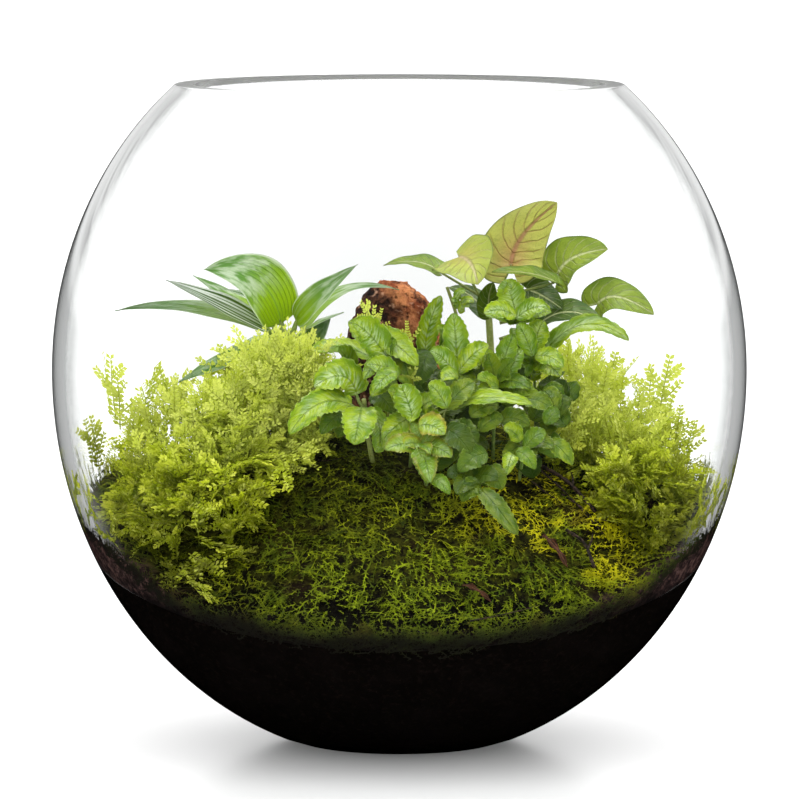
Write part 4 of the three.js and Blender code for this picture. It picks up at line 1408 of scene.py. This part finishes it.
def leafy_plants():
    """The three leafy plants: their leaves, the scalloped shoots, and all their stems."""
    rods = [name for name in nodes if name.endswith("_stem")]
    hubs = np.array([rod_guide(name)[0][-1] for name in rods])
    stems, scalloped = Heap(), scalloped_finish()
    for name, slot, shape, finish, seed, changes in (
        ("striped_leaves", "striped_leaf", "strap", striped_finish(), 51, {}),
        ("arrow_leaves", "arrow_leaf", "arrow", arrow_finish(), 52, {"across": 9}),
        ("scalloped_leaves", "scalloped_leaf", "scallop", scalloped, 53, {}),
    ):
        own, heap, dice = leafy_plant(slot, shape, stems, hubs, seed, rows=44, **changes)
        piece(name, heap, finish, slot, own)
    heap = Heap()
    shoots(heap, stems, dice)
    piece("scalloped_shoots", heap, scalloped, "scalloped_leaf", list(SHOOTS))
    for name in rods:
        middles, radius = rod_guide(name)
        stem(stems, middles, (radius, radius * 0.9), 0.1, around=12, rows=30)
    piece("plant_stems", stems, stalk_finish(), "stalk", rods)


# ---------------------------------------------------------------- stone, twigs and litter


def stone():
    """The lava stone: rays from its centre meet the CAD stone, smoothed by a weight that falls off
    with the angle to each of its corners, and noise roughens and pits it."""
    low, high = (np.array(corner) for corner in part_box("stone"))
    centre, half = (low + high) / 2, (high - low) / 2
    corners = (node_mesh("stone")[0] - centre) / half
    rows, around = 72, 110
    rise = np.linspace(math.pi / 2, -math.pi / 2, rows + 2)[1:-1, None]
    turn = -np.arange(around)[None] / around * TURN
    rays = np.stack([np.cos(rise) * np.cos(turn), np.cos(rise) * np.sin(turn), np.sin(rise) + 0 * turn], -1)
    pull = np.exp(150 * (rays @ unit(corners).T - 1))
    size = (pull @ np.linalg.norm(corners, axis=-1)) / pull.sum(-1)
    body = rays * size[..., None] * half
    rough = ripple(body, 26 * MM, 7, 2) * 0.5 * MM + ripple(body, 6 * MM, 8, 3) * 0.7 * MM
    pits = smooth_step(ripple(body, 5 * MM, 9, 2), 0.35, 0.7) * 0.9 * MM
    body = body * (1 + (rough - pits - 0.6 * MM)[..., None] / np.linalg.norm(body, axis=-1, keepdims=True))
    rings = centre + body
    heap = Heap()
    heap.add(*closed_tube(rings, rings[0].mean(0), rings[-1].mean(0)))
    piece("lava_stone", heap, stone_finish(), "stone", ["stone"])


# Thin dead stems that lie on the moss: three points in millimetres and a radius each.
DEAD_STEMS = [
    ([[56, -18, 124], [71, -37, 112], [86, -54, 97]], 1.0),
    ([[69, -38, 112], [78, -43, 106], [87, -52, 98]], 0.9),
    ([[85, 23, 122], [94, -10, 113], [101, -35, 100]], 0.8),
    ([[55, -33, 118], [62, -40, 113], [70, -45, 108]], 0.6),
    ([[29, -110, 68], [42, -106, 70], [57, -100, 73]], 0.6),
    ([[2, -40, 122], [11, -41, 121], [22, -34, 124]], 0.6),
    ([[85, -47, 102], [102, -37, 99], [115, -11, 102]], 0.5),
    ([[-42, -15, 128], [-33, -29, 125], [-21, -28, 127]], 0.5),
]


def twigs():
    """The two twigs, knotty, with a short side twig each, and thin dead stems beside them."""
    dice = np.random.default_rng(5)
    heap = Heap()
    names = [name for name in nodes if name.startswith("twig")]
    for name in names:
        middles, radius = rod_guide(name)
        line = through(middles, 30) + FRONT * 1.5 * MM
        knots = radius * (0.95 + 0.2 * np.sin(np.linspace(0, 40, 30)) * dice.uniform(0.5, 1, 30))
        heap.add(*tube(line, knots, 9))
        spot, way = line[12], unit(line[14] - line[10])
        side = unit(np.cross(way, UP)) * dice.choice([-1, 1])
        tip = spot + (way * 0.8 + side * 0.6 + 0.3 * UP) * 7 * MM
        branch = through([spot, (spot + tip) / 2 + 0.5 * MM, tip], 10)
        heap.add(*tube(branch, np.linspace(0.8, 0.3, 10) * radius, 6))
    for points, thick in DEAD_STEMS:
        line = through(np.array(points) * MM, 20)
        heap.add(*tube(line, np.linspace(thick, 0.3, 20) * 0.6 * MM, 6))
    piece("dead_twigs", heap, bark_finish(), "twig", names)


def litter():
    """The dry leaves, narrow, wavy and cupped."""
    dice = np.random.default_rng(6)
    heap = Heap()
    names = [name for name in nodes if name.startswith("dry_leaf")]
    for name in names:
        _, rib, half, face = leaf_guide(name)
        blade(heap, rib, half * 0.45, face, "scallop", PLAIN, dice, wave=0.9, cup=0.3)
    piece("dry_leaves", heap, dry_leaf_finish(), "dry_leaf", names)


# ---------------------------------------------------------------- make it all

# Long sprigs that stand clear of the clumps, each by its foot and its tip, in millimetres.
LEFT_STANDING = [
    ([-127, 18, 138], [-131, 8, 166]),
    ([-124, 14, 138], [-126, 4, 166]),
    ([-122, 12, 134], [-120, 0, 159]),
    ([-114, 14, 134], [-108, 4, 164]),
    ([-98, 12, 138], [-101, 6, 162]),
    ([-96, 12, 136], [-94, 4, 161]),
    ([-74, 12, 145], [-79, 2, 170]),
    ([-130, -4, 118], [-134, -6, 140]),
    ([-132, -4, 120], [-137, -10, 141]),
    ([-80, 8, 136], [-84, -4, 161]),
    ([-71, 10, 143], [-72, 0, 169]),
    ([-65, 12, 147], [-65, 4, 175]),
    ([-59, 8, 147], [-58, 0, 172]),
    ([-53, 6, 145], [-51, -4, 170]),
    ([-47, 8, 147], [-44, 0, 172]),
    ([-41, 8, 147], [-38, 2, 170]),
    ([-66, -6, 140], [-68, -20, 166]),
    ([-56, -10, 138], [-58, -24, 165]),
    ([-72, -10, 132], [-76, -24, 158]),
    ([-49, -12, 136], [-50, -26, 163]),
    ([-83, -14, 128], [-86, -30, 154]),
    ([-96, -12, 132], [-98, -26, 156]),
    ([-106, -10, 127], [-106, -22, 154]),
    ([-115, -6, 127], [-116, -14, 150]),
    ([-62, 4, 147], [-67, -6, 174]),
    ([-85, -84, 100], [-68, -98, 93]),
    ([-87, -86, 93], [-73, -100, 85]),
    ([-48, -50, 135], [-34, -66, 132]),
    ([-49, -54, 132], [-37, -70, 124]),
    ([-51, -58, 132], [-42, -74, 119]),
    ([-88, -76, 112], [-74, -90, 108]),
    ([-91, -90, 87], [-80, -102, 75]),
    ([-70, -16, 145], [-72, -32, 170]),
    ([-62, -18, 148], [-63, -34, 173]),
    ([-54, -16, 147], [-54, -32, 172]),
    ([-48, -18, 145], [-46, -34, 169]),
    ([-77, -20, 133], [-80, -36, 155]),
    ([-57, -26, 138], [-58, -40, 160]),
    ([-45, -26, 138], [-42, -40, 160]),
    ([-9, -30, 180], [-17, -34, 193]),
    ([-11, -30, 179], [-6, -34, 189]),
    ([-14, -30, 175], [-12, -36, 187]),
    ([5, -26, 172], [2, -30, 185]),
    ([2, -36, 156], [7, -44, 165]),
    ([-33, -2, 150], [-31, -10, 172]),
    ([-28, 0, 150], [-25, -8, 170]),
]
RIGHT_STANDING = [
    ([109, 14, 138], [108, 8, 162]),
    ([113, 12, 138], [116, 4, 166]),
    ([119, 0, 126], [122, -6, 146]),
    ([122, -6, 120], [127, -12, 140]),
    ([128, -20, 104], [134, -26, 120]),
    ([92, 22, 142], [91, 16, 168]),
    ([96, 16, 134], [97, 10, 159]),
    ([84, 26, 144], [83, 20, 170]),
    ([76, 26, 141], [75, 20, 167]),
    ([102, 8, 128], [104, 0, 152]),
    ([70, 22, 140], [68, 16, 164]),
    ([88, 8, 136], [86, 0, 163]),
    ([114, 2, 128], [117, -6, 151]),
    ([66, 20, 138], [64, 14, 159]),
    ([98, -24, 120], [97, -40, 143]),
    ([109, -26, 114], [110, -40, 134]),
]

bowl()
soil()
moss_bed()
moss_look, spikemoss_look = moss_finish(), spikemoss_finish()
moss("moss_front", 8700, 1200, 31, front=True, finish=moss_look)
moss("moss_back", 6000, 1200, 32, front=False, finish=moss_look)
spikemoss(
    "spikemoss_left",
    clumps={"spikemoss_left_front": 330, "spikemoss_left_back": 170, "spikemoss_left_crest": 190},
    standing=LEFT_STANDING,
    between=[([-86, -34, 122], [-34, -4, 150], 120), ([-62, -34, 154], [-38, -22, 166], 50)],
    sector=((163, 212), (92, 114)),
    seed=41,
    finish=spikemoss_look,
)
spikemoss(
    "spikemoss_right",
    clumps={"spikemoss_right_front": 210, "spikemoss_right_back": 170},
    standing=RIGHT_STANDING,
    between=[([62, -16, 116], [98, 14, 138], 100)],
    sector=((-28, 14), (92, 110)),
    seed=42,
    finish=spikemoss_look,
)
leafy_plants()
stone()
twigs()
litter()


# ---------------------------------------------------------------- floor, light and camera


def studio_floor():
    """A wide white disc under the bowl, a thin shell whose underside is a shallow cone."""
    edges = np.array([[0.3, 0.0], [1.5, 0.0], [6.0, 0.0], [30.0, 0.0]])
    heap = Heap()
    heap.add(*closed_tube(spin(edges, 64)[:, ::-1], [0, 0, 0], [0, 0, -0.02]))
    white = Finish("studio_white").close((0.74, 0.74, 0.74, 1), 0.6, 0.5, coat=(0.8, 0.22))
    made = mesh_object("studio_floor", heap, white, smooth=False)
    made.visible_glossy = made.visible_transmission = False


def studio_light():
    """What each ray sees. The camera sees plain white, and diffuse rays see white that brightens
    overhead. Rays straight through glass see white too, brighter the farther they turn from the
    nearest of eight level ways of looking. Mirrored rays see a bright panel overhead and a white
    wall behind the bowl. Once inside the glass they see a dim studio in place of the wall, with a
    darker ring round each of those eight ways, which draws the glass's outline."""
    world = bpy.data.worlds.new("studio")
    bpy.context.scene.world = world
    world.use_nodes = True
    sky = Finish("studio", world.node_tree)
    x, y, z = sky.out("TexCoord", output="Generated").parts()
    azimuth = x.math("ARCTAN2", y)
    path = sky.add("LightPath")
    camera = Value(sky, path["Is Camera Ray"])
    diffuse, glossy, entered = (
        Value(sky, path[f"{kind} Depth"]).math("MINIMUM", 1.0)
        for kind in ("Diffuse", "Glossy", "Transmission")
    )
    lit = 1.7 + z.math("MAXIMUM", 0.0) ** 1.5 * 1.1
    aside = azimuth.math("WRAP", math.pi / 8, -math.pi / 8)
    turned = (aside * aside + (z + 0.096) ** 2.0) ** 0.5
    seen_through = (1.16 * (1 + (turned * 8) ** 2.0)).math("MINIMUM", 2.2)
    ring = turned.step(0.02, 0.05) * turned.step(0.2, 0.14)
    streaks = sky.cloud(azimuth * 3, z * 40, 0.0, 2.0).step(0.45, 0.6) * z.step(-0.02, 0.12)
    level = z.step(-0.55, -0.3) * (0.05 + y.step(0.6, 0.85) * 0.95)
    inner = level * (0.68 - ring * 0.5 - streaks * 0.5)
    behind = y.step(0.3, 0.7) * z.step(0.0, 0.05) * 1.15
    overhead = z.step(0.65, 0.9) * 4.0
    mirrored = overhead + behind + entered * (inner - behind)
    strength = seen_through
    for share, seen in ((camera, 1.0), (glossy, mirrored), (diffuse, lit)):
        strength = strength + share * (seen - strength)
    back = sky.out("Background", {"Color": (1, 1, 1, 1), "Strength": strength})
    sky.add("OutputWorld", {"Surface": back})


def studio_camera():
    """The camera, 2.6 m in front and a little above, with a long lens, aimed at the bowl's middle."""
    data = bpy.data.cameras.new("camera")
    data.lens, data.sensor_width = 271.8, 36.0
    data.clip_end = 100
    camera = bpy.data.objects.new("camera", data)
    bpy.context.scene.collection.objects.link(camera)
    camera.location = (0.0, -2.6, 0.4005)
    target = np.array([0.0003, 0.0, 0.1484])
    aim = target - np.array(camera.location)
    camera.rotation_euler = (math.acos(-aim[2] / np.linalg.norm(aim)), 0, -math.atan2(aim[0], aim[1]))
    bpy.context.scene.camera = camera


studio_floor()
studio_light()
studio_camera()
scene = bpy.context.scene
scene.view_settings.view_transform = "Standard"
scene.cycles.transparent_max_bounces = 16
scene.cycles.transmission_bounces = 16
scene.cycles.glossy_bounces = 16
scene.cycles.max_bounces = 20
